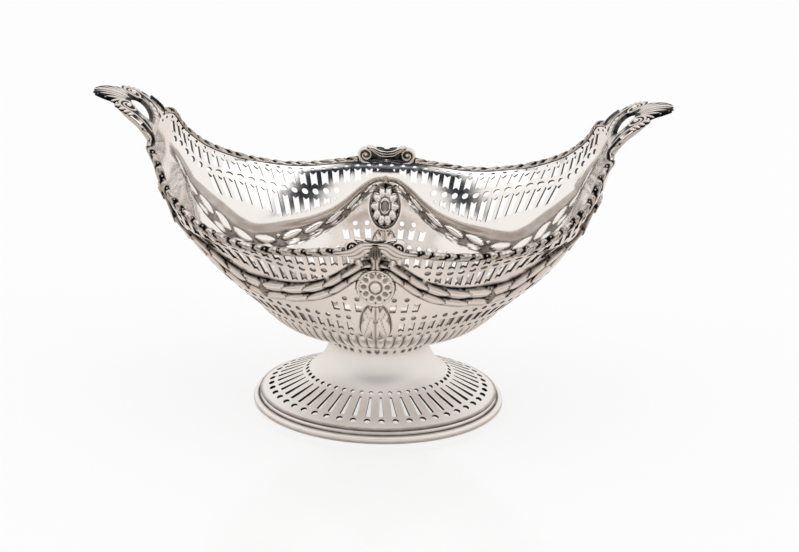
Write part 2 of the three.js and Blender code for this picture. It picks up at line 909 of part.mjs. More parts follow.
// Crest
function crestShape() {
  const base = rimHeight + seatGap;
  const reach = crestHalfWidth - voluteRadius;
  const turnIn = Math.PI * 0.62;
  const shoulder = new THREE.Vector2(Math.cos(turnIn), Math.sin(turnIn)).multiplyScalar(voluteRadius);
  shoulder.add(new THREE.Vector2(reach, crestHeight - voluteRadius));
  const outline = new THREE.Shape();
  outline.moveTo(-crestHalfWidth, 0);
  outline.lineTo(crestHalfWidth, 0);
  outline.absarc(reach, crestHeight - voluteRadius, voluteRadius, 0, turnIn, false);
  outline.quadraticCurveTo(reach * 0.3, crestHeight * 0.5, 0, crestHeight * 0.86);
  outline.quadraticCurveTo(-reach * 0.3, crestHeight * 0.5, -shoulder.x, shoulder.y);
  outline.absarc(-reach, crestHeight - voluteRadius, voluteRadius, Math.PI - turnIn, Math.PI, false);
  const plate = new THREE.ExtrudeGeometry(outline, {
    depth: crestThickness,
    bevelEnabled: false,
    curveSegments: 5,
  });
  plate.rotateX(Math.PI / 2);
  const outer = bowlHalfWidth + mouldingOutside - crestSetBack;
  plate.translate(0, outer, base);
  const eyes = [-1, 1].map((side) => {
    const eye = new THREE.CylinderGeometry(voluteEye * 0.85, voluteEye * 1.15, crestThickness * 1.3, 8);
    return eye.translate(side * reach, outer - crestThickness / 2, base + crestHeight - voluteRadius);
  });
  return join([indexed(plate), ...eyes.map(indexed)]);
}

// Shared vertices only, so that a geometry class makes a closed solid
function indexed(geometry) {
  geometry.deleteAttribute("normal");
  geometry.deleteAttribute("uv");
  return mergeVertices(geometry, 1e-4);
}

// Handle: a cast plate that carries on from the end of the bowl and curls out to a fluted tip
const handleBase = rimHeight + endRise + seatGap;
const bowlEnd = facePoint(0, handleBase).x - sheet / 2;

// Along the plate: shares of the reach, rise, half-width, hollow of the section, thickness and flute depth
const handleStations = [
  [0, 0, 1, 0.6, 1, 0],
  [0.03, 0.12, 0.97, 0.5, 1, 0],
  [0.1, 0.32, 0.91, 0.25, 1, 0],
  [0.2, 0.52, 0.84, 0, 1, 0],
  [0.29, 0.65, 0.8, -0.15, 1, 0],
  [0.39, 0.76, 0.72, -0.2, 1, 0],
  [0.51, 0.85, 0.54, -0.2, 1, 0.1],
  [0.64, 0.93, 0.4, -0.2, 0.95, 0.2],
  [0.77, 0.98, 0.35, -0.2, 0.9, 0.2],
  [0.89, 1, 0.26, -0.15, 0.8, 0.2],
  [1, 0.99, 0.12, -0.1, 0.6, 0.1],
];
const holeStation = 3;
const voluteStation = 5;

function handlePlate() {
  const line = handleStations.map(([reach, rise]) => {
    return new THREE.Vector3(bowlEnd + reach * handleReach, 0, handleBase + rise * handleRise);
  });
  const across = [-1, -0.72, -0.36, 0, 0.36, 0.72, 1];
  const rings = handleStations.map(([, , width, hollow, thick, flute], i) => {
    const before = line[Math.max(0, i - 1)];
    const after = line[Math.min(line.length - 1, i + 1)];
    const forward = after.clone().sub(before).normalize();
    const top = new THREE.Vector3(-forward.z, 0, forward.x);
    const half = (handleThickness * thick) / 2;
    const row = (lift, order) => {
      return order.map((v, n) => {
        const ripple = (n % 2 === 0 ? flute : -flute) * 0.5;
        const raised = (hollow * v * v + ripple) * handleThickness + lift;
        return line[i].clone().addScaledVector(top, raised).setY(v * width * handleRootHalfWidth);
      });
    };
    return [...row(-half, across), ...row(half, [...across].reverse())];
  });
  return { plate: loft(rings), line };
}

// Places a shape made flat, its Z pointing out of the back of the plate, at a station of the handle
function onHandle(geometry, line, station, aside) {
  const slope = line[station + 1].clone().sub(line[station - 1]).normalize();
  const outward = new THREE.Vector3(slope.z, 0, -slope.x);
  const frame = new THREE.Matrix4().makeBasis(new THREE.Vector3(0, 1, 0), slope, outward);
  frame.setPosition(line[station].clone().setY(aside));
  return indexed(geometry).applyMatrix4(frame);
}

function handleShape() {
  const { plate, line } = handlePlate();
  const opening = new THREE.CylinderGeometry(1, 1, handleThickness * 6, 14).rotateX(Math.PI / 2);
  opening.scale(handleHoleHalfWidth, handleHoleHalfHeight, 1);
  const tube = handleFrame / (handleHoleHalfHeight + handleFrame);
  const border = new THREE.TorusGeometry(1, tube, 4, 14);
  border.scale(handleHoleHalfWidth + handleFrame, handleHoleHalfHeight + handleFrame, handleFrame / tube);
  border.translate(0, 0, -handleThickness * 0.5);
  const framed = join([plate, onHandle(border, line, holeStation, 0)]);
  const parts = [cut(framed, onHandle(opening, line, holeStation, 0))];
  const profile = [
    [0, -0.2],
    [1, -0.2],
    [0.85, 0.42],
    [0.55, 0.2],
    [0.3, 0.48],
    [0, 0.55],
  ];
  for (const side of [-1, 1]) {
    const turned = profile.map(([x, y]) => new THREE.Vector2(x * handleVolute, y * handleVolute));
    const volute = new THREE.LatheGeometry(turned, 8).rotateX(-Math.PI / 2);
    volute.translate(0, 0, -handleThickness * 0.5);
    parts.push(onHandle(volute, line, voluteStation, side * handleVoluteAside));
  }
  return join(parts);
}

// The assembly
const basket = new THREE.Group();

function addPiece(name, geometry) {
  const mesh = new THREE.Mesh(geometry, new THREE.MeshStandardMaterial(SILVER));
  mesh.name = name;
  mesh.geometry.computeVertexNormals();
  basket.add(mesh);
}

addPiece("bowl", bowlShape());
addPiece("foot", footShape());
addPiece("foot_border", footBorderShape());
addPiece("bowl_collar", collarShape());
const moulding = mouldingShape();
addPiece("rim_moulding_back_right", moulding);
addPiece("rim_moulding_back_left", reflected(moulding, -1, 1));
addPiece("rim_moulding_front_left", reflected(moulding, -1, -1));
addPiece("rim_moulding_front_right", reflected(moulding, 1, -1));
const crest = crestShape();
addPiece("rim_crest_back", crest);
addPiece("rim_crest_front", reflected(crest, 1, -1));
const handle = handleShape();
addPiece("handle_right", handle);
addPiece("handle_left", reflected(handle, -1, 1));

export default basket;
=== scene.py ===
"""Looks of a boat-shaped silver basket, pierced and stamped with laurel garlands, on an oval pierced foot.

Shapes are worked out in millimetres, in the frame of the CAD part, and are turned to metres in the meshes.
"""

import math

import bpy
import numpy as np
from mathutils import Matrix, Vector
from mathutils.geometry import delaunay_2d_cdt


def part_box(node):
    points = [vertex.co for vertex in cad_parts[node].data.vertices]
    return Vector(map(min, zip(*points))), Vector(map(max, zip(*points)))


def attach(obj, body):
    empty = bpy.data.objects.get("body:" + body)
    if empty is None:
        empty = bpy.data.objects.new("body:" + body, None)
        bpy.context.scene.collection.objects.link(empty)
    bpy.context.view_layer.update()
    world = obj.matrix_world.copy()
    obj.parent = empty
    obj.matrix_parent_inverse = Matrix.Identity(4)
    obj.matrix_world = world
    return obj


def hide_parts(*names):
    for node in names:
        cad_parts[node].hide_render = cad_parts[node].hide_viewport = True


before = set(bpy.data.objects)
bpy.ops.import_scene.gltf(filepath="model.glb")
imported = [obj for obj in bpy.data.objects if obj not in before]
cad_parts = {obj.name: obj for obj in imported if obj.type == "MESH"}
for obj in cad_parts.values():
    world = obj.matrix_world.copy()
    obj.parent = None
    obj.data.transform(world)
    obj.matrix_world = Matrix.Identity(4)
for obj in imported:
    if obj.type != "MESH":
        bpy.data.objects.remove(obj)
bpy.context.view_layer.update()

MM = 0.001
TURN = 2 * math.pi
QUARTER = math.pi / 2


def node_box(name):
    low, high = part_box(name)
    return np.array(low) / MM, np.array(high) / MM


# Sizes taken from the CAD part
SEAT_GAP = 0.3
BASE = node_box("bowl")[0][2]
RIM = node_box("rim_crest_front")[0][2] - SEAT_GAP
DEPTH = RIM - BASE
BOWL_TOP = node_box("bowl")[1][2]
END_RISE = BOWL_TOP - RIM
FOOT_HALF_LENGTH, FOOT_HALF_WIDTH, STEM_TOP = node_box("foot")[1]
OVALNESS = FOOT_HALF_WIDTH / FOOT_HALF_LENGTH
FOOT_EDGE = node_box("foot_border")[1][2] - 0.1


# Lines and curves
def as_arrays(*values):
    return np.broadcast_arrays(*(np.asarray(value, float) for value in values))


def joined(*values):
    """Points from their separate coordinates, any of which may be one number."""
    return np.stack(np.broadcast_arrays(*values), -1)


def unit(vector):
    return vector / np.maximum(np.linalg.norm(vector, axis=-1, keepdims=True), 1e-9)


def length_along(line):
    """Length from the start of a line to each of its points."""
    return np.concatenate([[0], np.cumsum(np.linalg.norm(np.diff(line, axis=0), axis=1))])


def at_length(places, lengths, line):
    """The points of a line at given lengths along it."""
    return joined(*(np.interp(places, lengths, column) for column in line.T))


def spaced(start, end, spacing):
    """Values from start to end, both included, about a spacing apart."""
    return np.linspace(start, end, max(2, int(abs(end - start) / spacing) + 1))


def around(count):
    """Angles spread evenly over a full turn."""
    return np.arange(count) / count * TURN


def ease(low, high, value):
    """0 before low, 1 after high, and a soft step between them."""
    t = np.clip((value - low) / (high - low), 0, 1)
    return t * t * (3 - 2 * t)


def line_at(distance, width):
    """1 on a line, fading to its sides within about twice the width."""
    return np.exp(-((distance / width) ** 2))


def dome(*shares):
    """1 in the middle of a round or oval place, 0 at its edge and beyond it."""
    return np.clip(1 - sum(share**2 for share in shares), 0, 1)


def centripetal(points, count=24):
    """A centripetal Catmull-Rom curve through the points."""
    points = np.array(points, float)
    points = np.vstack([2 * points[0] - points[1], points, 2 * points[-1] - points[-2]])
    spans = len(points) - 3
    out = []
    for position in np.linspace(0, spans, count):
        i = min(int(position), spans - 1)
        t = position - i
        a, b, c, d = points[i : i + 4]
        before = np.linalg.norm(b - a) ** 0.5
        width = np.linalg.norm(c - b) ** 0.5
        after = np.linalg.norm(d - c) ** 0.5
        start = ((b - a) / before - (c - a) / (before + width) + (c - b) / width) * width
        end = ((c - b) / width - (d - b) / (width + after) + (d - c) / after) * width
        out.append(
            b * (2 * t**3 - 3 * t**2 + 1)
            + start * (t**3 - 2 * t**2 + t)
            + c * (3 * t**2 - 2 * t**3)
            + end * (t**3 - t**2)
        )
    return np.array(out)


def scroll(centre, outside, eye, fall, start, turns, count):
    """Points of a scroll wound from its outside to its eye, falling in by a power of what is left."""
    share = np.linspace(0, 1, count)
    reach = outside * (1 - share) ** fall + eye * share
    turn = start + share * turns * TURN
    return joined(centre[0] + reach * np.cos(turn), centre[1] + reach * np.sin(turn))


def smooth(stations, column):
    """A monotone curve through a list of stations, for one of its columns."""
    x = np.array([station[0] for station in stations], float)
    y = np.array([station[column] for station in stations], float)
    slope = np.diff(y) / np.diff(x)
    tangent = np.zeros(len(x))
    tangent[0] = slope[0]
    tangent[-1] = slope[-1]
    for i, (before, after) in enumerate(zip(slope[:-1], slope[1:]), 1):
        if before * after > 0:
            tangent[i] = 2 * before * after / (before + after)

    def at(value):
        value = np.asarray(value, float)
        i = np.clip(np.searchsorted(x, value, side="right") - 1, 0, len(x) - 2)
        width = x[i + 1] - x[i]
        t = np.clip((value - x[i]) / width, 0, 1)
        rise = t * t * (3 - 2 * t)
        start = t * (1 - t) ** 2 * width * tangent[i]
        end = t * t * (1 - t) * width * tangent[i + 1]
        return y[i] + (y[i + 1] - y[i]) * rise + start - end

    return at


# The bowl's wall
HALF_LENGTH = 69.8
HALF_WIDTH = 40.3
SHEET = 0.9

# Rise as a share of the bowl's depth, then length, width and bluntness of its plan there
BOWL_STATIONS = [
    (0.0, 0.28, 0.38, 2.0), (0.06, 0.47, 0.55, 1.9), (0.165, 0.58, 0.67, 1.68), (0.27, 0.666, 0.738, 1.6),
    (0.376, 0.752, 0.785, 1.6), (0.504, 0.84, 0.825, 1.66), (0.631, 0.91, 0.86, 1.72),
    (0.78, 0.957, 0.905, 2.05), (0.907, 0.979, 0.955, 2.7), (1.0, 1.0, 1.02, 3.4),
    (1.135, 1.037, 1.06, 3.5), (1.31, 1.1, 1.085, 3.3), (1.52, 1.135, 1.122, 2.85),
]
# Plan direction in degrees from the end, then height of the rim as a share of the end rise
RIM_STATIONS = [
    (0, 1.0), (12, 1.0), (16.6, 0.94), (22.2, 0.55), (26.7, 0.3), (31.1, 0.15), (36.1, 0.03),
    (41.5, -0.045), (46.8, -0.08), (53, -0.09), (61, -0.07), (75, -0.02), (90, 0.0),
]
length_share = smooth(BOWL_STATIONS, 1)
width_share = smooth(BOWL_STATIONS, 2)
bluntness = smooth(BOWL_STATIONS, 3)
rim_share = smooth(RIM_STATIONS, 1)


def quarter_degrees(angle):
    """Plan direction folded into the first quarter, in degrees."""
    from_end = np.abs(np.arctan2(np.sin(angle), np.cos(angle)))
    return np.degrees(np.minimum(from_end, math.pi - from_end))


def rim_height(angle):
    return RIM + END_RISE * rim_share(quarter_degrees(angle))


def face_point(angle, height):
    """A point of the bowl's outer face, in a plan direction and at a height."""
    angle, height = as_arrays(angle, height)
    rise = (height - BASE) / DEPTH
    power = bluntness(rise)
    x = np.abs(np.cos(angle)) / (HALF_LENGTH * length_share(rise))
    y = np.abs(np.sin(angle)) / (HALF_WIDTH * width_share(rise))
    reach = (x**power + y**power) ** (-1 / power)
    return joined(reach * np.cos(angle), reach * np.sin(angle), height)


def rim_point(angle):
    return face_point(angle, rim_height(angle))


def face_normal(angle, height):
    turn = 0.02
    climb = 0.4
    round_wall = face_point(angle + turn, height) - face_point(angle - turn, height)
    up_wall = face_point(angle, height + climb) - face_point(angle, height - climb)
    return unit(np.cross(round_wall, up_wall))


def wall_point(angle, height, proud):
    return face_point(angle, height) + face_normal(angle, height) * proud[:, None]


def below_rim(angle, distance):
    """Height reached by going down the wall from the rim by a distance."""
    step = 0.5
    angle, distance = as_arrays(angle, distance)
    height = rim_height(angle)
    left = distance.copy()
    for _ in range(int(np.max(distance) / step) + 2):
        fall = np.linalg.norm(face_point(angle, height) - face_point(angle, height - step), axis=-1)
        height = height - step * np.clip(left / fall, 0, 1)
        left = np.maximum(left - fall, 0)
    return height


# A flat plan of one quarter of the wall: across goes by length along the rim, up by length up the corner
PLAN_ANGLES = np.linspace(0, QUARTER, 1601)
PLAN_ACROSS = length_along(rim_point(PLAN_ANGLES))
PLAN_HEIGHTS = np.linspace(BASE, BOWL_TOP + 2, 600)
PLAN_UP = length_along(face_point(math.pi / 4, PLAN_HEIGHTS))
PLAN_END = PLAN_ACROSS[-1]
ON_EDGE = 1e-4  # a point nearer than this to the edge of a plan lies on it


def to_plan(angle, height):
    angle, height = as_arrays(angle, height)
    return joined(np.interp(angle, PLAN_ANGLES, PLAN_ACROSS), np.interp(height, PLAN_HEIGHTS, PLAN_UP))


def from_plan(places):
    angle = np.interp(places[:, 0], PLAN_ACROSS, PLAN_ANGLES)
    return angle, np.interp(places[:, 1], PLAN_UP, PLAN_HEIGHTS)


# Garlands: plan direction in degrees, then height of the middle line as a share of the bowl's depth
GARLAND_STATIONS = [
    (88.5, 0.85), (84, 0.835), (78, 0.78), (71, 0.7), (62, 0.618), (53, 0.565), (45, 0.535), (36, 0.52),
    (28, 0.517), (21, 0.545), (17.1, 0.62), (15.2, 0.74), (13.7, 0.9), (12.6, 1.08), (11.8, 1.2),
]
GARLAND_WIDTH = 9.2
CORNER_DEGREES = 15.0  # where the garlands turn up to the handles
GARLAND_UPRIGHT = BASE + 0.86 * DEPTH  # above it, a garland rises to the handle
_course = centripetal([(degrees, BASE + share * DEPTH) for degrees, share in GARLAND_STATIONS], 420)
GARLAND_ANGLES = np.radians(_course[:, 0])
GARLAND_HEIGHTS = _course[:, 1]
GARLAND_POINTS = face_point(GARLAND_ANGLES, GARLAND_HEIGHTS)
GARLAND_FORWARD = unit(np.gradient(GARLAND_POINTS, axis=0))
GARLAND_SIDE = unit(np.cross(face_normal(GARLAND_ANGLES, GARLAND_HEIGHTS), GARLAND_FORWARD))
GARLAND_ALONG = length_along(GARLAND_POINTS)
GARLAND_LENGTH = GARLAND_ALONG[-1]


def garland_half_width(along):
    """It narrows towards the medallion and towards the handle."""
    along = np.clip(along, 0, GARLAND_LENGTH)
    at_medallion = np.interp(along, [0, 14, 42], [0.56, 0.68, 1])
    at_handle = np.interp(GARLAND_LENGTH - along, [0, 26], [0.66, 1])
    return GARLAND_WIDTH / 2 * at_medallion * at_handle


def garland_place(angle, height):
    """How far along the nearest garland a place of the wall is, how far aside, and how far past its edge."""
    places = face_point(angle, height)
    nearest = np.zeros(len(places), int)
    best = np.full(len(places), 1e9)
    for i, point in enumerate(GARLAND_POINTS):
        gap = np.linalg.norm(places - point, axis=1)
        closer = gap < best
        nearest[closer] = i
        best[closer] = gap[closer]
    away = places - GARLAND_POINTS[nearest]
    along = GARLAND_ALONG[nearest] + np.sum(away * GARLAND_FORWARD[nearest], axis=1)
    aside = np.sum(away * GARLAND_SIDE[nearest], axis=1)
    beyond = np.maximum(-along, along - GARLAND_LENGTH)
    return along, aside, np.hypot(aside, np.maximum(beyond, 0)) - garland_half_width(along)


def garland_edge(angle, half_widths, highest):
    """Height of a garland's edge in a plan direction, taken from the part of its course below a height."""
    run = (np.degrees(GARLAND_ANGLES) >= CORNER_DEGREES) & (GARLAND_HEIGHTS < highest)
    order = np.argsort(GARLAND_ANGLES[run])
    edges = (GARLAND_HEIGHTS + garland_half_width(GARLAND_ALONG) * half_widths)[run][order]
    degrees = np.clip(quarter_degrees(angle), CORNER_DEGREES, GARLAND_STATIONS[0][0])
    return np.interp(degrees, np.degrees(GARLAND_ANGLES[run])[order], edges)


# The garland's laurel
LEAF_PITCH = 8.4
LEAF_LENGTH = 11.8
LEAF_RELIEF = 1.5
LEAF_TIP = 0.6  # share of a leaf's length where its rounded tip starts
LEAF_LINE = 0.52  # dark line round a leaf
BACK_LEAF_PITCH = 8.6
TIE_INDEX = int(np.argmin(GARLAND_HEIGHTS))
TIE_HALF_LENGTH = 2.1
TIE_HALF_HEIGHT = 3.6


def towards_tie(along):
    """Length from the nearer end of a garland towards its tie."""
    return np.where(along < GARLAND_ALONG[TIE_INDEX], along, GARLAND_LENGTH - along)


def leaf_form(along, aside, half):
    """Pairs of laurel leaves whose tips lie over the next pair: how proud they are, and how dark."""
    run = towards_tie(along)
    proud = np.zeros(len(along))
    edge = np.full(len(along), 0.95)
    for back in (0, 1):
        start = (np.floor(run / LEAF_PITCH) - back) * LEAF_PITCH
        share = np.clip((run - start) / LEAF_LENGTH, 0, 1)
        tip = np.clip((share - LEAF_TIP) / (1 - LEAF_TIP), 0, 1)
        width = half * 0.49 * (1 - tip**2.2) ** 0.62
        for side in (-1, 1):
            across = np.abs((aside - side * half * 0.5) / np.maximum(width, 0.02))
            groove = line_at((across - 0.38) * width, 0.26) * np.sin(math.pi * share)
            crown = np.sqrt(np.clip(1 - 0.62 * across**2, 0, 1)) * (0.42 + 0.58 * share)
            crown = np.where((across < 1) & (share < 1), crown - 0.07 * groove, 0)
            line = line_at((1 - across) * width, LEAF_LINE) * np.where(tip > 0.15, 1.0, 0.75)
            notch = line_at(aside, 0.85) * (share < 0.36)
            above = crown > proud
            proud = np.where(above, crown, proud)
            edge = np.where(above, np.maximum(np.maximum(line, notch), 0.26 * groove), edge)
    return proud * LEAF_RELIEF, edge


def tie_form(angle, height):
    """The knot that ties two swags together: a lozenge of crossed bands."""
    away = face_point(angle, height) - GARLAND_POINTS[TIE_INDEX]
    x = np.sum(away * GARLAND_FORWARD[TIE_INDEX], axis=-1)
    y = np.sum(away * GARLAND_SIDE[TIE_INDEX], axis=-1)
    lozenge = np.abs(x) / TIE_HALF_LENGTH + np.abs(y) / TIE_HALF_HEIGHT
    bands = np.minimum(*(np.abs((slant / 1.1) % 1 - 0.5) for slant in (x + y, x - y))) * 2
    proud = np.where(lozenge < 1, 1.5 + 0.2 * bands, 0)
    dark = np.where(lozenge < 1, 0.25 + 0.7 * (1 - bands) ** 2, line_at((lozenge - 1) * 3, 0.5))
    return lozenge, proud, dark


# Strap, medallion and pendant, one under the other in the middle of each side
STRAP_HEIGHT = 70.2
STRAP_HALF_HEIGHT = 3.2
STRAP_HALF_WIDTH = 1.4
STRAP_FLARE = 0.5  # wider at both ends
MEDALLION_HEIGHT = 60.0
MEDALLION_HALF_WIDTH = 6.4
MEDALLION_HALF_HEIGHT = 8.0
MEDALLION_RADIUS = 7.0  # of the round flower that is drawn out to the medallion's oval
PETALS = 10
BACK_NARROWING = 1.2  # the flower is narrower inside the bowl than outside
PENDANT_HEIGHT = 44.6
PENDANT_HALF_WIDTH = 5.9
PENDANT_HALF_HEIGHT = 8.7

# Centre, half-sizes, lean in degrees and height of each leaf of the pendant, the top one last
PENDANT_LEAVES = [
    ((0.0, -5.0), (1.5, 3.6), 0, 0.7),
    ((2.7, -3.6), (2.0, 4.9), 20, 0.8),
    ((-2.7, -3.6), (2.0, 4.9), -20, 0.8),
    ((3.0, 2.6), (2.5, 6.0), -14, 1.0),
    ((-3.0, 2.6), (2.5, 6.0), 14, 1.0),
    ((0.0, 3.2), (1.6, 4.8), 0, 1.3),
]


def side_place(angle, height, centre_height):
    """Millimetres across and up the wall from a place in the middle of a side."""
    up_wall = unit(np.cross(np.array([-1.0, 0, 0]), face_normal(QUARTER, centre_height)))
    away = face_point(angle, height) - face_point(QUARTER, centre_height)
    return away[..., 0], np.sum(away * up_wall, axis=-1)


def medallion_places(across, up):
    """Reach from the centre, as a share and in mm, then the ways to a petal's middle and to its gap."""
    x = across / MEDALLION_HALF_WIDTH
    y = up / MEDALLION_HALF_HEIGHT
    reach = np.hypot(x, y)
    arc = TURN / PETALS * reach * MEDALLION_RADIUS
    offset = (np.arctan2(y, x) / TURN * PETALS + 0.5) % 1.0 - 0.5
    return reach, reach * MEDALLION_RADIUS, offset * arc, (0.5 - np.abs(offset)) * arc


def darkest(*shades):
    return np.maximum.reduce(np.broadcast_arrays(*shades))


def medallion_form(across, up):
    """An oval flower in a ring: round petals sunk between broad spokes, and a ringed boss."""
    reach, radius, petal_side, gap_side = medallion_places(across, up)
    ring = dome((reach - 0.93) / 0.075)
    petal = dome((radius - 4.4) / 1.2, petal_side)
    boss = dome(radius / 1.6)
    dart = np.clip(1 - np.abs(radius - 5.6) / 0.55 - gap_side / 0.5, 0, 1)
    proud = 0.85 + 0.4 * np.sqrt(ring) - 0.5 * np.sqrt(petal) + 0.5 * np.sqrt(boss)
    dark = darkest(
        0.5 * np.clip(petal * 3, 0, 1) + 0.95 * np.clip(dart * 3, 0, 1),
        0.85 * line_at(radius - 2.25, 0.32),
        0.4 * line_at(radius - 6.05, 0.16),
        0.95 * line_at((reach - 1.03) * MEDALLION_RADIUS, 0.3),
    )
    return reach, np.where(reach > 1, 0, proud), np.clip(dark, 0, 1)


def medallion_back(across, up):
    """The same flower seen from inside the bowl: swelling petals round an oval ring with a hollow eye."""
    reach, radius, petal_side, _ = medallion_places(across, up)
    petal = dome((radius - 4.6) / 1.85, petal_side / 1.45)
    ring = dome((radius - 2.15) / 0.5)
    depth = (0.45 - 0.45 * np.sqrt(petal) - 0.7 * np.sqrt(ring)) * ease(1.12, 0.98, reach)
    dark = darkest(
        0.85 * line_at(petal, 0.1) * (radius > 2.85) * (radius < 6.5),
        0.9 * line_at(radius - 2.85, 0.22),
        0.48 * (radius < 1.75),
        0.9 * line_at(radius - 1.62, 0.2),
        0.9 * line_at((reach - 1.0) * MEDALLION_RADIUS, 0.4),
    )
    return reach, depth, dark


def pendant_place(angle, height):
    """Way across and up from the pendant's middle, way past its side, and whether its height is reached."""
    across, up = side_place(angle, height, PENDANT_HEIGHT)
    share = np.clip(up / PENDANT_HALF_HEIGHT, -1, 1)
    width = np.sqrt(np.clip(1 - np.abs(share) ** 2.6, 0, 1)) * (0.86 + 0.14 * share)
    return across, up, np.abs(across) - PENDANT_HALF_WIDTH * width, np.abs(up) < PENDANT_HALF_HEIGHT


def pendant_form(across, up):
    """A bell flower: a bud with a rib between two spread leaves, over three more."""
    proud = np.full(len(across), 0.3)
    dark = np.full(len(across), 0.3)
    for centre, half, lean, height in PENDANT_LEAVES:
        cos, sin = math.cos(math.radians(lean)), math.sin(math.radians(lean))
        x = (across - centre[0]) * cos + (up - centre[1]) * sin
        y = (up - centre[1]) * cos - (across - centre[0]) * sin
        width = half[0] * np.sqrt(dome(y / half[1]))
        inner = np.clip(1 - np.abs(x) / np.maximum(width, 0.01), 0, 1) * (np.abs(y) < half[1])
        crown = np.where(inner > 0, 0.3 + height * np.sqrt(dome(1 - inner)), 0)
        above = crown > proud
        proud = np.where(above, crown, proud)
        line = 0.9 * line_at(inner * width, 0.26)
        vein = 0.45 * line_at((1 - inner) * width, 0.16)
        dark = np.where(above, np.maximum(line, vein), dark)
    return proud, dark


# Relief of the sheet, outside and inside
FLUTE_TOP = BASE + DEPTH * 0.19
INSIDE_DARK = 40.0  # height round which the inside turns darker towards the bottom, as painted shade


def relief(angle, height):
    """How far the stamped sheet stands out, and how dark the old tarnish and the painted shade are there."""
    along, aside, gap = garland_place(angle, height)
    leaves, edges = leaf_form(along, aside, garland_half_width(along))
    proud = ease(0.1, -0.5, gap) * (0.25 + leaves)
    upper = aside < 0
    # Dark line round the garland: tarnish in the crease, and painted shade that makes it darker and wider
    # along the upper edge
    outline = np.where(upper, 1.0, 0.8) * line_at(gap - 0.15, np.where(upper, 0.42, 0.26))
    tarnish_and_shade = np.where(gap < 0, np.maximum(edges, outline), outline)

    lozenge, knot, knot_dark = tie_form(angle, height)
    proud = np.where(lozenge < 1, knot, proud)
    tarnish_and_shade = np.where(lozenge < 1.15, knot_dark, tarnish_and_shade)

    across, up = side_place(angle, height, STRAP_HEIGHT)
    width = STRAP_HALF_WIDTH + STRAP_FLARE * (up / STRAP_HALF_HEIGHT) ** 2
    level = np.abs(up) < STRAP_HALF_HEIGHT
    on_strap = (np.abs(across) < width) & level
    flute = np.abs(np.sin(across / width * 1.5 * math.pi))
    proud = np.where(on_strap, 1.2 + 0.3 * flute, proud)
    tarnish_and_shade = np.where(on_strap, 0.7 * (1 - flute) ** 2, tarnish_and_shade)
    tarnish_and_shade = np.maximum(tarnish_and_shade, 0.9 * line_at(np.abs(across) - width, 0.3) * level)

    across, up, edge, level = pendant_place(angle, height)
    bell, bell_dark = pendant_form(across, up)
    inside = level & (edge < 0)
    proud = np.where(inside, bell * ease(0.0, -0.5, edge), proud)
    tarnish_and_shade = np.maximum(np.where(inside, bell_dark, tarnish_and_shade), 0.9 * line_at(edge, 0.3) * level)

    across, up = side_place(angle, height, MEDALLION_HEIGHT)
    reach, flower, flower_dark = medallion_form(across, up)
    proud = np.where(reach < 1, flower, proud)
    tarnish_and_shade = np.where(reach < 1.06, flower_dark, tarnish_and_shade)

    # Flutes round the bottom, one to a column of openings
    field = ease(BASE + 0.5, BASE + 2.0, height) * ease(FLUTE_TOP, FLUTE_TOP - 1.2, height)
    field = field * ((edge > 0.3) | (height < PENDANT_HEIGHT - PENDANT_HALF_HEIGHT))
    column = np.interp(angle, LOWER_EDGES, np.arange(len(LOWER_EDGES)))
    wave = np.sin(math.pi * (column % 1.0)) ** 0.7
    return proud + 0.45 * field * wave, np.maximum(tarnish_and_shade, 0.75 * field * (1 - wave) ** 2)


def hollow(angle, height):
    """How deep the stamping is on the inside of the sheet, and its tarnish and painted light and shade
    there.
    """
    along, aside, gap = garland_place(angle, height)
    share = aside / (garland_half_width(along) * np.interp(along, [0, 18, 45], [0.66, 0.84, 1.1]))
    inside = (np.abs(share) < 1) & (gap < 0.7)
    leaf = (towards_tie(along) / BACK_LEAF_PITCH) % 1.0
    swell = np.sin(math.pi * leaf) ** 0.6
    almond = dome((share - 0.18 - 0.3 * (leaf - 0.5)) / np.maximum(0.34 * swell, 0.02))
    small = dome((share - 0.72) / 0.22, (leaf - 0.5) / 0.38)
    trough = 0.9 * ease(-1.0, -0.15, share) * ease(1.0, 0.8, share)
    depth = trough - 0.85 * np.sqrt(almond) - 0.45 * np.sqrt(small)
    depth = np.where(inside, depth * np.interp(along, [45, 72, 90], [1, 0.5, 0.4]), 0)
    # Painted light and shade inside the garland: its upper part is kept a light tan as if lit, the rest is
    # painted dark as if in shade, with darker lines round the leaves
    painted_lit_band = np.interp(along, [40, 60], [0.16, 0.34]) * ease(-1.0, -0.85, share)
    dark = np.where(share < -0.22, painted_lit_band, 0.6)
    dark = np.where(almond > 0, 0.9 * line_at(almond, 0.3), dark)
    dark = np.where((small > 0) & (almond <= 0), 0.8 * line_at(small, 0.35), dark)
    tarnish_and_shade = np.where(inside, np.maximum(dark, 0.7 * line_at(share + 0.2, 0.06)), 0)
    # Painted shade: away from the garland, the inside of the bowl grows darker towards the bottom
    painted_low_shade = 0.5 * ease(INSIDE_DARK + 8, INSIDE_DARK - 6, height)
    tarnish_and_shade = np.maximum(tarnish_and_shade, painted_low_shade * (np.abs(share) >= 1))

    across, up, edge, level = pendant_place(angle, height)
    bell, bell_dark = pendant_form(across, up)
    on_bell = level & (edge < 0)
    depth = np.where(on_bell, 0.8 * bell * ease(0.0, -0.6, edge), depth)
    tarnish_and_shade = np.where(on_bell, 0.8 * bell_dark, tarnish_and_shade)

    across, up = side_place(angle, height, MEDALLION_HEIGHT)
    reach, flower, flower_dark = medallion_back(across * BACK_NARROWING, up)
    return np.where(reach < 1.12, flower, depth), np.where(reach < 1.12, flower_dark, tarnish_and_shade)


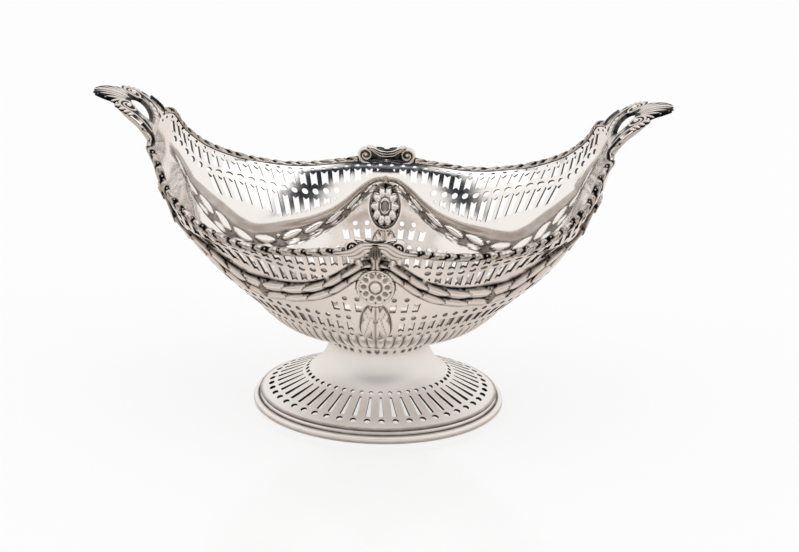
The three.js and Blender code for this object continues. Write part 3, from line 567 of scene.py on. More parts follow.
# Piercing
UPPER_COLUMNS = 27  # in a quarter of the bowl
LOWER_COLUMNS = 17
UPPER_OPENING = 0.6  # slot as a share of its column
LOWER_OPENING = 0.56
RIM_HOLE = (1.5, 1.0)
RIM_HOLE_BELOW = 2.1
SLOT_START = 3.1
SLOT_LENGTH = 5.0
SECOND_SLOT_LENGTH = 9.5
LEAST_SLOT = 1.0
COLUMN_LEAN = 0.45
NOTCH = 0.75
HOLE = 2.3
BAND = 1.0
HANDLE_DEGREES = 9.0  # no holes nearer than this to the middle of a handle's root
SIDE_DEGREES = 55.0  # the third row of lower slots is on the sides only

# Lower rows, from the bottom up: centre height and width of the holes, top and bottom height of the slots
FIRST_HOLES = (38.3, 1.5)
FIRST_SLOTS = (43.9, 40.0)
SECOND_HOLES = (46.0, 1.9)
SECOND_SLOTS = (52.4, 48.7)
THIRD_HOLES = (54.1, 1.9)
THIRD_SLOTS_BOTTOM = 55.8
THIRD_SLOTS_LENGTH = 6.0

# Metal left between the slots and a garland's edge
BELOW_GARLAND = 0.6
ABOVE_GARLAND = 0.9


def equal_edges(height_at, count):
    """Angles that share the first quarter of a line round the bowl into equal lengths."""
    along = length_along(face_point(PLAN_ANGLES, height_at))
    return np.interp(np.linspace(0, along[-1], count + 1), along, PLAN_ANGLES)


UPPER_EDGES = equal_edges(rim_height(PLAN_ANGLES), UPPER_COLUMNS)
LOWER_EDGES = equal_edges(BASE + 0.33 * DEPTH, LOWER_COLUMNS)


def leaned(angle, height):
    """Plan angle, at a height, of a column that starts at an angle on the rim and leans outwards."""
    angle, height = as_arrays(angle, height)
    rise = (height - BASE) / DEPTH
    straight = rim_point(angle)[..., 0]
    radial = face_point(angle, height)[..., 0]
    amount = COLUMN_LEAN * ease(0.45, 0.62, rise) * ease(10, 24, np.degrees(angle))
    across = (1 - amount) * radial + amount * straight
    power = bluntness(rise)
    share = np.minimum(across / (HALF_LENGTH * length_share(rise)), 0.9999)
    aside = HALF_WIDTH * width_share(rise) * (1 - share**power) ** (1 / power)
    return np.arctan2(aside, across)


def slot_outline(sides, tops, bottoms, notch_above=NOTCH, notch_below=NOTCH):
    """A sawn slot given at its sides and middle, with the metal's point standing into each notched end."""
    tops = tops - np.array([0, notch_above, 0])
    bottoms = bottoms + np.array([0, notch_below, 0])
    heights = np.array([*tops, *bottoms[::-1]])
    return leaned([*sides, *sides[::-1]], heights), heights


def radius_there(point_at, angle, height):
    """Length along a surface for each radian of plan angle."""
    turn = 0.01
    return np.linalg.norm(point_at(angle + turn, height) - point_at(angle - turn, height)) / (2 * turn)


def hole_outline(middle, centre, width, tall, corners=10):
    """A drilled hole, round or oval, at a plan direction and height."""
    turn = around(corners)
    climb = 0.4
    middle = float(leaned(middle, centre))
    up_wall = face_point(middle, centre + climb) - face_point(middle, centre - climb)
    lean = np.linalg.norm(up_wall) / (2 * climb)
    reach = radius_there(face_point, middle, centre)
    return middle + width / 2 * np.cos(turn) / reach, centre + tall / 2 * np.sin(turn) / lean


def round_hole(middle, centre, size, corners=10):
    return hole_outline(middle, centre, size, size, corners)


def clear_of_relief(angles, heights, margin=0.3):
    _, _, gap = garland_place(angles, heights)
    reach = medallion_places(*side_place(angles, heights, MEDALLION_HEIGHT))[0]
    _, _, beside, level = pendant_place(angles, heights)
    return bool(np.all((gap > margin) & (reach > 1.1) & ((beside > margin) | ~level)))


def column_sides(edges, k, opening):
    """The two sides and the middle of the slots in a column."""
    middle = (edges[k] + edges[k + 1]) / 2
    half = (edges[k + 1] - edges[k]) / 2 * opening
    return np.array([middle - half, middle, middle + half])


def upper_slot(sides, start, longest):
    """A slot that starts below the rim, cut short by the garland: a list, empty where there is no room."""
    tops = below_rim(sides, start)
    full = below_rim(sides, start + longest)
    bottoms = np.maximum(full, garland_edge(leaned(sides, full), 1.0, math.inf) + ABOVE_GARLAND)
    slot = slot_outline(sides, tops, bottoms)
    return [slot] if tops[1] - bottoms[1] > LEAST_SLOT and clear_of_relief(*slot) else []


def upper_openings():
    hole_start = SLOT_START + SLOT_LENGTH + BAND
    openings = []
    for k in range(UPPER_COLUMNS):
        sides = column_sides(UPPER_EDGES, k, UPPER_OPENING)
        middle = sides[1]
        if math.degrees(middle) > HANDLE_DEGREES:
            openings.append(hole_outline(middle, below_rim(middle, RIM_HOLE_BELOW), *RIM_HOLE, 8))
        if math.degrees(middle) < CORNER_DEGREES:
            continue
        openings += upper_slot(sides, SLOT_START, SLOT_LENGTH)
        hole = round_hole(middle, below_rim(middle, hole_start + HOLE / 2), HOLE)
        if clear_of_relief(*hole):
            openings.append(hole)
        openings += upper_slot(sides, hole_start + HOLE + BAND, SECOND_SLOT_LENGTH)
    return openings


def lower_openings():
    """Rows of holes and slots at fixed heights, left out where the garland or the pendant is."""
    openings = []
    for k in range(LOWER_COLUMNS):
        sides = column_sides(LOWER_EDGES, k, LOWER_OPENING)
        middle = sides[1]
        garland = garland_edge(middle, -1.1, GARLAND_UPRIGHT)
        found = [
            round_hole(middle, *FIRST_HOLES, 8),
            slot_outline(sides, *FIRST_SLOTS, 0),
            round_hole(middle, *SECOND_HOLES),
            slot_outline(sides, *SECOND_SLOTS, NOTCH, 0),
            round_hole(middle, *THIRD_HOLES),
        ]
        end = min(garland - BELOW_GARLAND, THIRD_SLOTS_BOTTOM + THIRD_SLOTS_LENGTH)
        if math.degrees(middle) > SIDE_DEGREES and end - THIRD_SLOTS_BOTTOM > LEAST_SLOT:
            found.append(slot_outline(sides, end, THIRD_SLOTS_BOTTOM))
        openings += [o for o in found if max(o[1]) < garland + 1.5 and clear_of_relief(*o)]
    return openings


# Meshes
def add_values(piece, name, values):
    piece.data.attributes.new(name, "FLOAT", "POINT")
    piece.data.attributes[name].data.foreach_set("value", np.asarray(values, np.float32))


def add_mesh(name, points, faces, tarnish_and_shade):
    """A mesh object from points in millimetres, with its tarnish and painted shade kept on its points."""
    mesh = bpy.data.meshes.new(name)
    mesh.from_pydata((np.asarray(points) * MM).tolist(), [], [tuple(int(i) for i in f) for f in faces])
    piece = bpy.data.objects.new(name, mesh)
    add_values(piece, "tarnish_and_shade", tarnish_and_shade)
    mesh.update()
    bpy.context.scene.collection.objects.link(piece)
    return piece


def select_only(*pieces):
    bpy.ops.object.select_all(action="DESELECT")
    for piece in pieces:
        piece.select_set(True)
    bpy.context.view_layer.objects.active = pieces[0]


def apply_modifiers(piece):
    select_only(piece)
    for modifier in list(piece.modifiers):
        bpy.ops.object.modifier_apply(modifier=modifier.name)


def complete(piece, x, y):
    """Mirrors a quarter or a half into the whole piece."""
    mirror = piece.modifiers.new("other_part", "MIRROR")
    mirror.use_axis = (x, y, False)
    mirror.merge_threshold = 0.02 * MM
    apply_modifiers(piece)


def thicken(piece, thickness, offset):
    wall = piece.modifiers.new("wall", "SOLIDIFY")
    wall.thickness = thickness * MM
    wall.offset = offset
    wall.material_offset_rim = 1
    apply_modifiers(piece)


def outward(piece, merge=None):
    """Turns all faces outwards, after merging points nearer together than a distance, if one is given."""
    select_only(piece)
    bpy.ops.object.mode_set(mode="EDIT")
    bpy.ops.mesh.select_all(action="SELECT")
    if merge:
        bpy.ops.mesh.remove_doubles(threshold=merge * MM)
    bpy.ops.mesh.normals_make_consistent(inside=False)
    bpy.ops.object.mode_set(mode="OBJECT")


def make_sheet(quarter, material, thickness, merge=None):
    """Mirrors a quarter, gives it its thickness, and its cut edges their own material."""
    complete(quarter, True, True)
    outward(quarter, merge)
    quarter.data.materials.append(material)
    quarter.data.materials.append(sawn_silver)
    thicken(quarter, thickness, -1)


def smooth_faces(piece, degrees):
    select_only(piece)
    bpy.ops.object.shade_smooth_by_angle(angle=math.radians(degrees))


def mirrored(piece, name, x, y):
    """A copy with its own mesh, reflected in the middle planes."""
    select_only(piece)
    bpy.ops.object.duplicate()
    copy = bpy.context.object
    copy.name = name
    copy.data.name = name
    copy.scale = (x, y, 1)
    bpy.ops.object.transform_apply(location=False, rotation=False, scale=True)
    outward(copy)
    return copy


class Shape:
    """Points, faces, and tarnish with painted shade, gathered from several parts of one piece."""

    def __init__(self):
        self.points = []
        self.faces = []
        self.tarnish_and_shade = []

    def add_rings(self, rings, tarnish_and_shade, closed_run=False):
        """Quads between rings of points, with the two end rings filled where the run isn't closed."""
        rings = np.asarray(rings, float)
        count, sides = rings.shape[:2]
        start = len(self.points)
        for i in range(count if closed_run else count - 1):
            a = start + i * sides
            b = start + (i + 1) % count * sides
            for j in range(sides):
                k = (j + 1) % sides
                self.faces.append((a + j, a + k, b + k, b + j))
        if not closed_run:
            self.faces.append(tuple(start + j for j in reversed(range(sides))))
            self.faces.append(tuple(start + (count - 1) * sides + j for j in range(sides)))
        self.points += list(rings.reshape(-1, 3))
        self.tarnish_and_shade += list(np.broadcast_to(np.asarray(tarnish_and_shade, float), (count, sides)).reshape(-1))

    def tube(self, path, radius, sides=8, tarnish_and_shade=0.1, flat=1.0, side_axis=(0, 1, 0)):
        """A bar along a path, its radius given at each point; flat squeezes or widens it along one axis."""
        radius = np.broadcast_to(np.asarray(radius, float), len(path))
        forward = unit(np.gradient(path, axis=0))
        across = unit(np.cross(forward, np.array(side_axis, float)))
        away = unit(np.cross(across, forward))
        turn = around(sides)[None, :, None]
        ring = np.cos(turn) * across[:, None] + np.sin(turn) * away[:, None] * flat
        self.add_rings(path[:, None] + radius[:, None, None] * ring, tarnish_and_shade)

    def ball(self, centre, radius, tarnish_and_shade, sides=10):
        rows = 6
        lift = math.pi * (np.arange(rows + 1)[:, None] + 0.12) / (rows + 0.24) - QUARTER
        turn = around(sides)
        ring = joined(np.cos(turn) * np.cos(lift), np.sin(turn) * np.cos(lift), np.sin(lift))
        self.add_rings(centre + radius * ring, tarnish_and_shade)

    def made(self, name, degrees):
        piece = add_mesh(name, self.points, self.faces, self.tarnish_and_shade)
        outward(piece)
        smooth_faces(piece, degrees)
        return piece


def turned_left(loop):
    """The loop in anticlockwise order."""
    after = np.roll(loop, -1, axis=0)
    area = np.sum(loop[:, 0] * after[:, 1] - loop[:, 1] * after[:, 0])
    return loop if area > 0 else loop[::-1]


def thin_out(kept, new, spacing, blocked):
    """Adds the new places that lie clear of the kept ones and of the openings' boxes."""
    cells = {}

    def cell_of(place):
        return int(place[0] // spacing), int(place[1] // spacing)

    for place in kept:
        cells.setdefault(cell_of(place), []).append(place)
    for place in new:
        if np.any(np.all((blocked[:, 0] < place) & (place < blocked[:, 1]), axis=1)):
            continue
        x, y = cell_of(place)
        near = [p for i in (-1, 0, 1) for j in (-1, 0, 1) for p in cells.get((x + i, y + j), [])]
        if all((p[0] - place[0]) ** 2 + (p[1] - place[1]) ** 2 > spacing**2 for p in near):
            kept.append(tuple(place))
            cells.setdefault((x, y), []).append(tuple(place))


def triangulated(outline, openings, fill):
    """Triangles that fill an outline round its openings, using the fill points inside it."""
    places = []
    loops = []
    for loop in [outline, *openings]:
        loops.append(list(range(len(places), len(places) + len(loop))))
        places.extend(tuple(p) for p in turned_left(loop))
    clear = 0.2
    boxes = [(np.min(opening, axis=0) - clear, np.max(opening, axis=0) + clear) for opening in openings]
    for spacing, group in fill:
        thin_out(places, group, spacing, np.array(boxes).reshape(-1, 2, 2))
    verts, _, faces, _, _, sources = delaunay_2d_cdt([Vector(p) for p in places], [], loops, 0, 1e-5, True)
    kept = [f for f, source in zip(faces, sources) if list(source) == [0]]
    used = sorted({i for f in kept for i in f})
    renumber = {old: new for new, old in enumerate(used)}
    return np.array([verts[i] for i in used]), [[renumber[i] for i in f] for f in kept]


def grid(across, up):
    """Places at every crossing of two sets of lines, as a list."""
    return joined(*np.meshgrid(across, up)).reshape(-1, 2)


def outline_of(*sides):
    """A closed outline from its sides in order, each ending where the next starts."""
    return np.vstack([side[:-1] for side in sides])


def snap_to_middle(points, across, end):
    """Puts the points on a quarter plan's two side edges exactly into the middle planes."""
    points[:, 0] = np.where(across > end - ON_EDGE, 0, points[:, 0])
    points[:, 1] = np.where(across < ON_EDGE, 0, points[:, 1])


# Bowl
FLOOR_SHARES = (0.78, 0.55, 0.3)  # rings of points across the bowl's bottom
FLOOR_TARNISH = 0.05


def bowl_fill():
    """Points inside the quarter plan: close together on the relief, wider apart on the plain sheet."""
    along, aside = np.meshgrid(np.arange(0, GARLAND_LENGTH + 1, 0.46), np.arange(-5.2, 5.3, 0.4))
    side = at_length(along, GARLAND_ALONG, GARLAND_SIDE)
    place = (at_length(along, GARLAND_ALONG, GARLAND_POINTS) + side * aside[..., None]).reshape(-1, 3)
    garland = to_plan(np.arctan2(place[:, 1], place[:, 0]), place[:, 2])

    def wall_grid(angles, heights):
        places = grid(angles, heights)
        return to_plan(places[:, 0], places[:, 1])

    medallion = wall_grid(
        np.arctan2(HALF_WIDTH * 0.9, np.arange(0.17, 7.2, 0.34)),
        np.arange(MEDALLION_HEIGHT - 8.6, STRAP_HEIGHT + 3.4, 0.34),
    )
    pendant = wall_grid(
        np.arctan2(HALF_WIDTH * 0.78, np.arange(0.2, 6.4, 0.4)),
        np.arange(PENDANT_HEIGHT - 8.8, PENDANT_HEIGHT + 8, 0.38),
    )
    flutes = wall_grid(
        np.interp(np.arange(0, LOWER_COLUMNS, 1 / 6), np.arange(LOWER_COLUMNS + 1), LOWER_EDGES),
        [29.0, 29.8, 30.8, 32.0, 33.3, 34.6, 35.6, 36.4],
    )
    painted_lit_band = grid(np.arange(0.9, PLAN_END, 1.8), np.arange(1.0, PLAN_UP[-1], 1.6))
    painted_lit_band[:, 0] += 0.9 * (np.round(painted_lit_band[:, 1] / 1.6) % 2)
    margin = 0.35
    inside = []
    for spacing, group in ((0.28, np.vstack([garland, medallion, pendant])), (0.5, flutes), (1.1, painted_lit_band)):
        top = np.interp(rim_height(from_plan(group)[0]), PLAN_HEIGHTS, PLAN_UP)
        inside_top = (group[:, 0] < PLAN_END - margin) & (group[:, 1] < top - margin)
        inside.append((spacing, group[(group > margin).all(axis=1) & inside_top]))
    return inside


def quarter_plan():
    columns = np.arange(0, LOWER_COLUMNS + 0.01, 0.5)
    rim_angles = np.interp(spaced(PLAN_END, 0, 1.0), PLAN_ACROSS, PLAN_ANGLES)
    outline = outline_of(
        to_plan(np.interp(columns, np.arange(LOWER_COLUMNS + 1), LOWER_EDGES), BASE),
        to_plan(QUARTER, spaced(BASE, rim_height(QUARTER), 0.7)),
        to_plan(rim_angles, rim_height(rim_angles)),
        to_plan(0.0, spaced(rim_height(0.0), BASE, 1.4)),
    )
    openings = [to_plan(angles, heights) for angles, heights in upper_openings() + lower_openings()]
    return triangulated(outline, openings, bowl_fill())


def floor_rings(points, foot):
    """Points and faces of rings that close the bottom, shrinking from the foot of the wall to the middle."""
    new = [points[i] * np.array([share, share, 1]) for share in FLOOR_SHARES for i in foot]
    rings = [list(foot)]
    for n in range(len(FLOOR_SHARES)):
        start = len(points) + n * len(foot)
        rings.append(list(range(start, start + len(foot))))
    faces = []
    for ring, inner in zip(rings, rings[1:]):
        faces += [(ring[j], inner[j], inner[j + 1], ring[j + 1]) for j in range(len(foot) - 1)]
    middle = len(points) + len(new)
    faces += [(rings[-1][j], middle, rings[-1][j + 1]) for j in range(len(foot) - 1)]
    return np.array([*new, (0, 0, BASE)]), faces


def shape_inside(bowl):
    """Gives the inner face of the sheet, the second half of its points, its own softer relief."""
    mesh = bowl.data
    count = len(mesh.vertices)
    places = np.zeros(count * 3)
    mesh.vertices.foreach_get("co", places)
    places = places.reshape(-1, 3) / MM
    values = {}
    for name in ("plan_angle", "plan_height", "tarnish_and_shade"):
        values[name] = np.zeros(count, np.float32)
        mesh.attributes[name].data.foreach_get("value", values[name])
    inner = np.arange(count // 2, count)
    inner = inner[values["plan_height"][inner] > BASE + 1.0]
    outer = places[inner - count // 2]
    angle = values["plan_angle"][inner].astype(float)
    height = values["plan_height"][inner].astype(float)
    depth, values["tarnish_and_shade"][inner] = hollow(angle, height)
    new = wall_point(angle, height, depth - SHEET)
    new[:, :2] = np.where(np.abs(outer[:, :2]) < ON_EDGE, 0, new[:, :2] * np.sign(outer[:, :2]))
    places[inner] = new
    mesh.vertices.foreach_set("co", (places * MM).reshape(-1))
    mesh.attributes["tarnish_and_shade"].data.foreach_set("value", values["tarnish_and_shade"])
    for name in ("plan_angle", "plan_height"):
        mesh.attributes.remove(mesh.attributes[name])
    mesh.update()


def make_bowl():
    flat, faces = quarter_plan()
    angle, height = from_plan(flat)
    proud, tarnish_and_shade = relief(angle, height)
    points = wall_point(angle, height, np.where(height < BASE + 0.2, 0, proud))
    snap_to_middle(points, flat[:, 0], PLAN_END)
    foot = np.flatnonzero(flat[:, 1] < ON_EDGE)
    foot = foot[np.argsort(angle[foot])]
    floor_points, floor_faces = floor_rings(points, foot)
    blank = np.zeros(len(floor_points))
    points = np.vstack([points, floor_points])
    bowl = add_mesh("bowl_pierced", points, faces + floor_faces, [*tarnish_and_shade, *(blank + FLOOR_TARNISH)])
    add_values(bowl, "plan_angle", [*angle, *blank])
    add_values(bowl, "plan_height", [*height, *blank])
    make_sheet(bowl, sheet_silver, SHEET, 0.004)
    shape_inside(bowl)
    smooth_faces(bowl, 42)
    return bowl


# Rim moulding
MOULDING_OUTSIDE = 1.6
MOULDING_INSIDE = 1.3
MOULDING_ABOVE = 1.35
MOULDING_BELOW = 1.2
MOULDING_END_GAP = 1.0  # from the handle's root to the end of the moulding
LAUREL_PITCH = 4.5
LAUREL_SIDES = 18
LAUREL_PARTS = 14  # along each pair of leaves
BERRY = 0.34
BERRIES = ((0.2, 0.95), (-0.9, 0.3), (1.15, 0.25))
CREST_HALF_WIDTH = 10.0
HANDLE_ROOT = 15.6


def rim_frames(angles):
    """Place, outward and upward direction on the rim."""
    turn = 0.003
    place = rim_point(angles)
    forward = unit(rim_point(angles + turn) - rim_point(angles - turn))
    wall = unit(place - face_point(angles, rim_height(angles) - 0.5))
    out = unit(np.cross(forward, wall))
    return place, out, unit(np.cross(out, forward))


def laurel_run(shape, frames_at, length):
    """Pairs of laurel leaves with berries at each joint, along a run whose frames go by length."""
    repeats = round(length / LAUREL_PITCH)
    pitch = length / repeats
    runs = np.linspace(0, length, repeats * LAUREL_PARTS + 1)
    place, out, up = frames_at(runs)
    middle_up = (MOULDING_ABOVE - MOULDING_BELOW) / 2
    tall = (MOULDING_ABOVE + MOULDING_BELOW) / 2
    middle_out = (MOULDING_OUTSIDE - MOULDING_INSIDE) / 2
    wide = (MOULDING_OUTSIDE + MOULDING_INSIDE) / 2
    rings = []
    tarnish_and_shade = []
    for j, angle in enumerate(around(LAUREL_SIDES)):
        top = math.sin(angle)
        side = math.cos(angle)
        uneven = 0.13 * np.sin(runs * 0.83) + 0.08 * np.sin(runs * 2.31 + j)
        phase = runs / pitch + 0.42 * (1 - abs(top)) * np.sign(top + 0.01) + uneven
        gap = 1 - np.abs(np.sin(math.pi * phase)) ** 0.75
        carved = np.clip((top + 0.55) / 0.7, 0, 1)
        leaf = 1 - 0.5 * carved * gap
        x = middle_out + wide * abs(side) ** 0.8 * np.sign(side) * leaf
        y = middle_up + tall * abs(top) ** 0.8 * np.sign(top) * leaf
        rings.append(place + out * x[:, None] + up * y[:, None])
        vein = 0.5 * line_at(phase % 1.0 - 0.5, 0.1) * carved
        # Tarnish in the gaps between the leaves and along their veins, and painted shade along the underside
        # of the moulding
        tarnish_and_shade.append(np.clip(1.9 * carved * gap + vein + 0.9 * (top < -0.4), 0, 1))
    shape.add_rings(np.stack(rings, 1), np.stack(tarnish_and_shade, 1))
    for n in range(repeats):
        place, out, up = frames_at(np.array([(n + 0.02) * pitch]))
        for x, y in BERRIES:
            shape.ball(place[0] + out[0] * x + up[0] * y, BERRY, 0.32, 8)


def make_moulding():
    """The length between the back crest and the right handle."""
    angles = np.linspace(math.atan2(HALF_WIDTH, CREST_HALF_WIDTH + SEAT_GAP), 0.05, 1500)
    angles = angles[rim_point(angles)[:, 1] > HANDLE_ROOT + MOULDING_END_GAP]
    along = length_along(rim_point(angles))
    shape = Shape()
    laurel_run(shape, lambda runs: rim_frames(np.interp(runs, along, angles)), along[-1])
    return shape.made("rim_moulding_back_right_laurel", 50)


# Crest in the middle of each side, drawn across and up from the rim
CREST_EYE = np.array([7.4, 1.75])
CREST_EYE_RADIUS = 0.8
CREST_VOLUTE_REACH = 2.65
CREST_VOLUTE_EYE = 0.6
CREST_BAND = [(-0.2, -0.5), (1.4, -0.6), (2.9, -0.8), (4.3, -1.0), (5.8, -1.2)]
CREST_GROUND = [
    (-10.3, -0.6), (-10.0, 1.6), (-8.4, 4.0), (-5.6, 4.4), (0, 3.6), (5.6, 4.4), (8.4, 4.0), (10.0, 1.6),
    (10.3, -0.6),
]
CREST_BASE = -1.2
# Reach, height at the middle, height over the sag and height at the tip of each blade of a leaf wing
CREST_BLADES = [(14.0, 3.2, 0.3, -0.7), (12.0, 2.2, -0.5, -1.3), (9.0, 1.2, -1.2, -1.9)]
BLADE_TARNISH = [0.9, 0.3, 0.02, 0.3, 0.9, 1.0, 1.0, 1.0]  # round a blade's section


def on_crest(flat, out):
    """Puts points drawn across and up onto the rim beside the middle, following its curve."""
    angle = np.arctan2(HALF_WIDTH, flat[:, 0])
    lean = face_normal(angle, RIM - 0.5)[:, 1]
    return joined(flat[:, 0], rim_point(angle)[:, 1] + (out * lean + 0.1 * flat[:, 1]), RIM + flat[:, 1])


def add_crest_half(shape, sign):
    roll = scroll(CREST_EYE, CREST_VOLUTE_REACH, CREST_VOLUTE_EYE, 0.8, math.radians(-95), 1.5, 48)
    band = centripetal(CREST_BAND, 22)
    width = np.concatenate([np.linspace(0.6, 0.7, len(band)), np.linspace(0.7, 0.4, len(roll))])
    shape.tube(on_crest(np.vstack([band, roll]) * sign, 0.3), width, 10, 0.05, 2.4)
    shape.ball(on_crest((CREST_EYE * sign)[None], 0.3)[0], CREST_EYE_RADIUS, 0.03)
    # Reeds that sink from the volute's back to the middle
    for n in range(3):
        reed = centripetal([
            (6.9 - 0.7 * n, 4.7 - 0.6 * n), (5.0 - 0.4 * n, 4.4 - 0.9 * n),
            (2.4, 3.3 - 0.9 * n), (0.0, 2.9 - 0.85 * n),
        ], 20) * sign
        shape.tube(on_crest(reed, 0.3), np.linspace(0.4, 0.26, len(reed)), 8, 0.1, 3.0)
    # Blades of the leaf wings, on the outside
    for n, (reach, start, sag, end) in enumerate(CREST_BLADES):
        blade = centripetal([
            (0.9, start), (reach * 0.28, start * 0.94), (reach * 0.6, sag), (reach, end),
        ], 18)
        swell = np.sin(math.pi * np.linspace(0.1, 0.97, len(blade))) ** 0.8
        shape.tube(on_crest(blade * sign, 2.0 + 0.25 * n), 0.85 * swell + 0.1, 8, BLADE_TARNISH, 0.55)


def make_crest():
    shape = Shape()
    for side in (-1, 1):
        add_crest_half(shape, np.array([side, 1]))
    # Fluted shell between the wings, on the outside
    for n in range(-2, 3):
        foot = np.array([0.95 * n, -1.3])
        tip = np.array([0.7 * n, 2.5 - 0.2 * n * n])
        flute = foot + (tip - foot) * np.linspace(0, 1, 8)[:, None]
        shape.tube(on_crest(flute, 2.6), 0.46, 8, 0.62)
    # Ground that the scrolls are cast on
    top = centripetal(CREST_GROUND, 50)
    base = joined(np.linspace(*top[[0, -1], 0], 50), CREST_BASE)
    sections = [on_crest(top, 0.9), on_crest(top, -0.3), on_crest(base, -0.3), on_crest(base, 0.9)]
    shape.add_rings(np.stack(sections, 1), 0.85)
    return shape.made("rim_crest_back_scrolls", 50)


# Handles
HANDLE_BASE = RIM + END_RISE + SEAT_GAP
HANDLE_REACH = 19.9
HANDLE_RISE = 12.6
HANDLE_DISH = 2.2
HANDLE_METAL = 1.5
HOLE_ALONG = 7.8
HOLE_HALF_LENGTH = 4.9
HOLE_HALF_WIDTH = 5.4
VOLUTE_ALONG = 12.6
VOLUTE_ASIDE = 6.4
VOLUTE_TURNS = 1.62
VOLUTE_REACH = 3.5
VOLUTE_EYE = 0.9
PLATE_INSET = 0.5  # of the plate's edge behind the raised strip
PLATE_TIP_GAP = 0.6
RIB_START = 13.4
STRIP_LENGTH = 16.5
RAY_DEGREES = 13  # between the dark rays round the hole

# Along a handle: shares of its reach, rise and root half-width, then hollow of the section
HANDLE_STATIONS = [
    (0, 0, 1, 0.6), (0.03, 0.12, 0.97, 0.5), (0.1, 0.32, 0.91, 0.25), (0.2, 0.52, 0.84, 0),
    (0.29, 0.65, 0.8, -0.15), (0.39, 0.76, 0.72, -0.2), (0.51, 0.85, 0.54, -0.2), (0.64, 0.93, 0.4, -0.2),
    (0.77, 0.98, 0.35, -0.2), (0.89, 1, 0.26, -0.15), (1, 0.99, 0.12, -0.1),
]
STATION_PARTS = 30
BOWL_END = float(face_point(0.0, HANDLE_BASE)[0]) - SHEET / 2
HANDLE_LINE = centripetal([
    (BOWL_END + reach * HANDLE_REACH, HANDLE_BASE + rise * HANDLE_RISE)
    for reach, rise, _, _ in HANDLE_STATIONS
], STATION_PARTS * (len(HANDLE_STATIONS) - 1) + 1)
HANDLE_ALONG = length_along(HANDLE_LINE)
HANDLE_LENGTH = HANDLE_ALONG[-1]
HANDLE_SLOPE = unit(np.gradient(HANDLE_LINE, axis=0))
_shares = [(HANDLE_ALONG[i * STATION_PARTS], *station[2:]) for i, station in enumerate(HANDLE_STATIONS)]
handle_width_share = smooth(_shares, 1)
handle_hollow = smooth(_shares, 2)

# Scrolls of a handle, by length up it and distance to its side
ARM = [(1.9, 8.3), (2.0, 9.4), (3.2, 10.2), (5.5, 10.3), (8.5, 10.0), (11.0, 10.0), (12.6, 9.9)]
MIDDLE_REED = [(2.6, 7.2), (3.6, 8.5), (6.0, 8.8), (8.6, 8.6), (10.6, 8.2), (11.6, 7.6)]
LOBE_RADII = [0.35, 0.5, 0.62, 0.74, 0.84, 0.9, 0.9, 0.85, 0.65, 0.3]
PLUME = [(25.2, 1.35, 1.0), (23.6, 3.1, 2.0), (21.0, 4.9, 3.0), (18.4, 6.8, 3.9)]
BAR_TARNISH = [1.0, 0.3, 0.0, 0.3, 1.0, 1.0, 1.0, 1.0]  # round a raised band's section
EDGE_TARNISH = [0.3, 0.05, 0.0, 0.05, 0.3, 0.2, 0.2, 0.2]


def handle_half_width(along):
    return HANDLE_ROOT * handle_width_share(along)


def handle_frame(along):
    """Place and top direction on the middle line of a handle."""
    line = at_length(along, HANDLE_ALONG, HANDLE_LINE)
    slope = at_length(along, HANDLE_ALONG, HANDLE_SLOPE)
    return joined(line[..., 0], 0, line[..., 1]), unit(joined(-slope[..., 1], 0, slope[..., 0]))


def handle_point(along, aside, above):
    """A point over a handle's face, by length up it, distance to its side and height above it."""
    along, aside, above = as_arrays(along, aside, above)
    place, top = handle_frame(along)
    dish = handle_hollow(along) * HANDLE_DISH * np.clip(aside / handle_half_width(along), -1.1, 1.1) ** 2
    points = place + top * (above + dish)[..., None]
    points[..., 1] = aside
    return points


def handle_bar(shape, flat, side, radius, above, squash=0.75, tarnish_and_shade=BAR_TARNISH):
    """A raised band laid on a handle, along a path given by length and side."""
    along, aside = flat[:, 0], flat[:, 1] * side
    shape.tube(handle_point(along, aside, above), radius, 8, tarnish_and_shade, squash, handle_frame(along)[1])


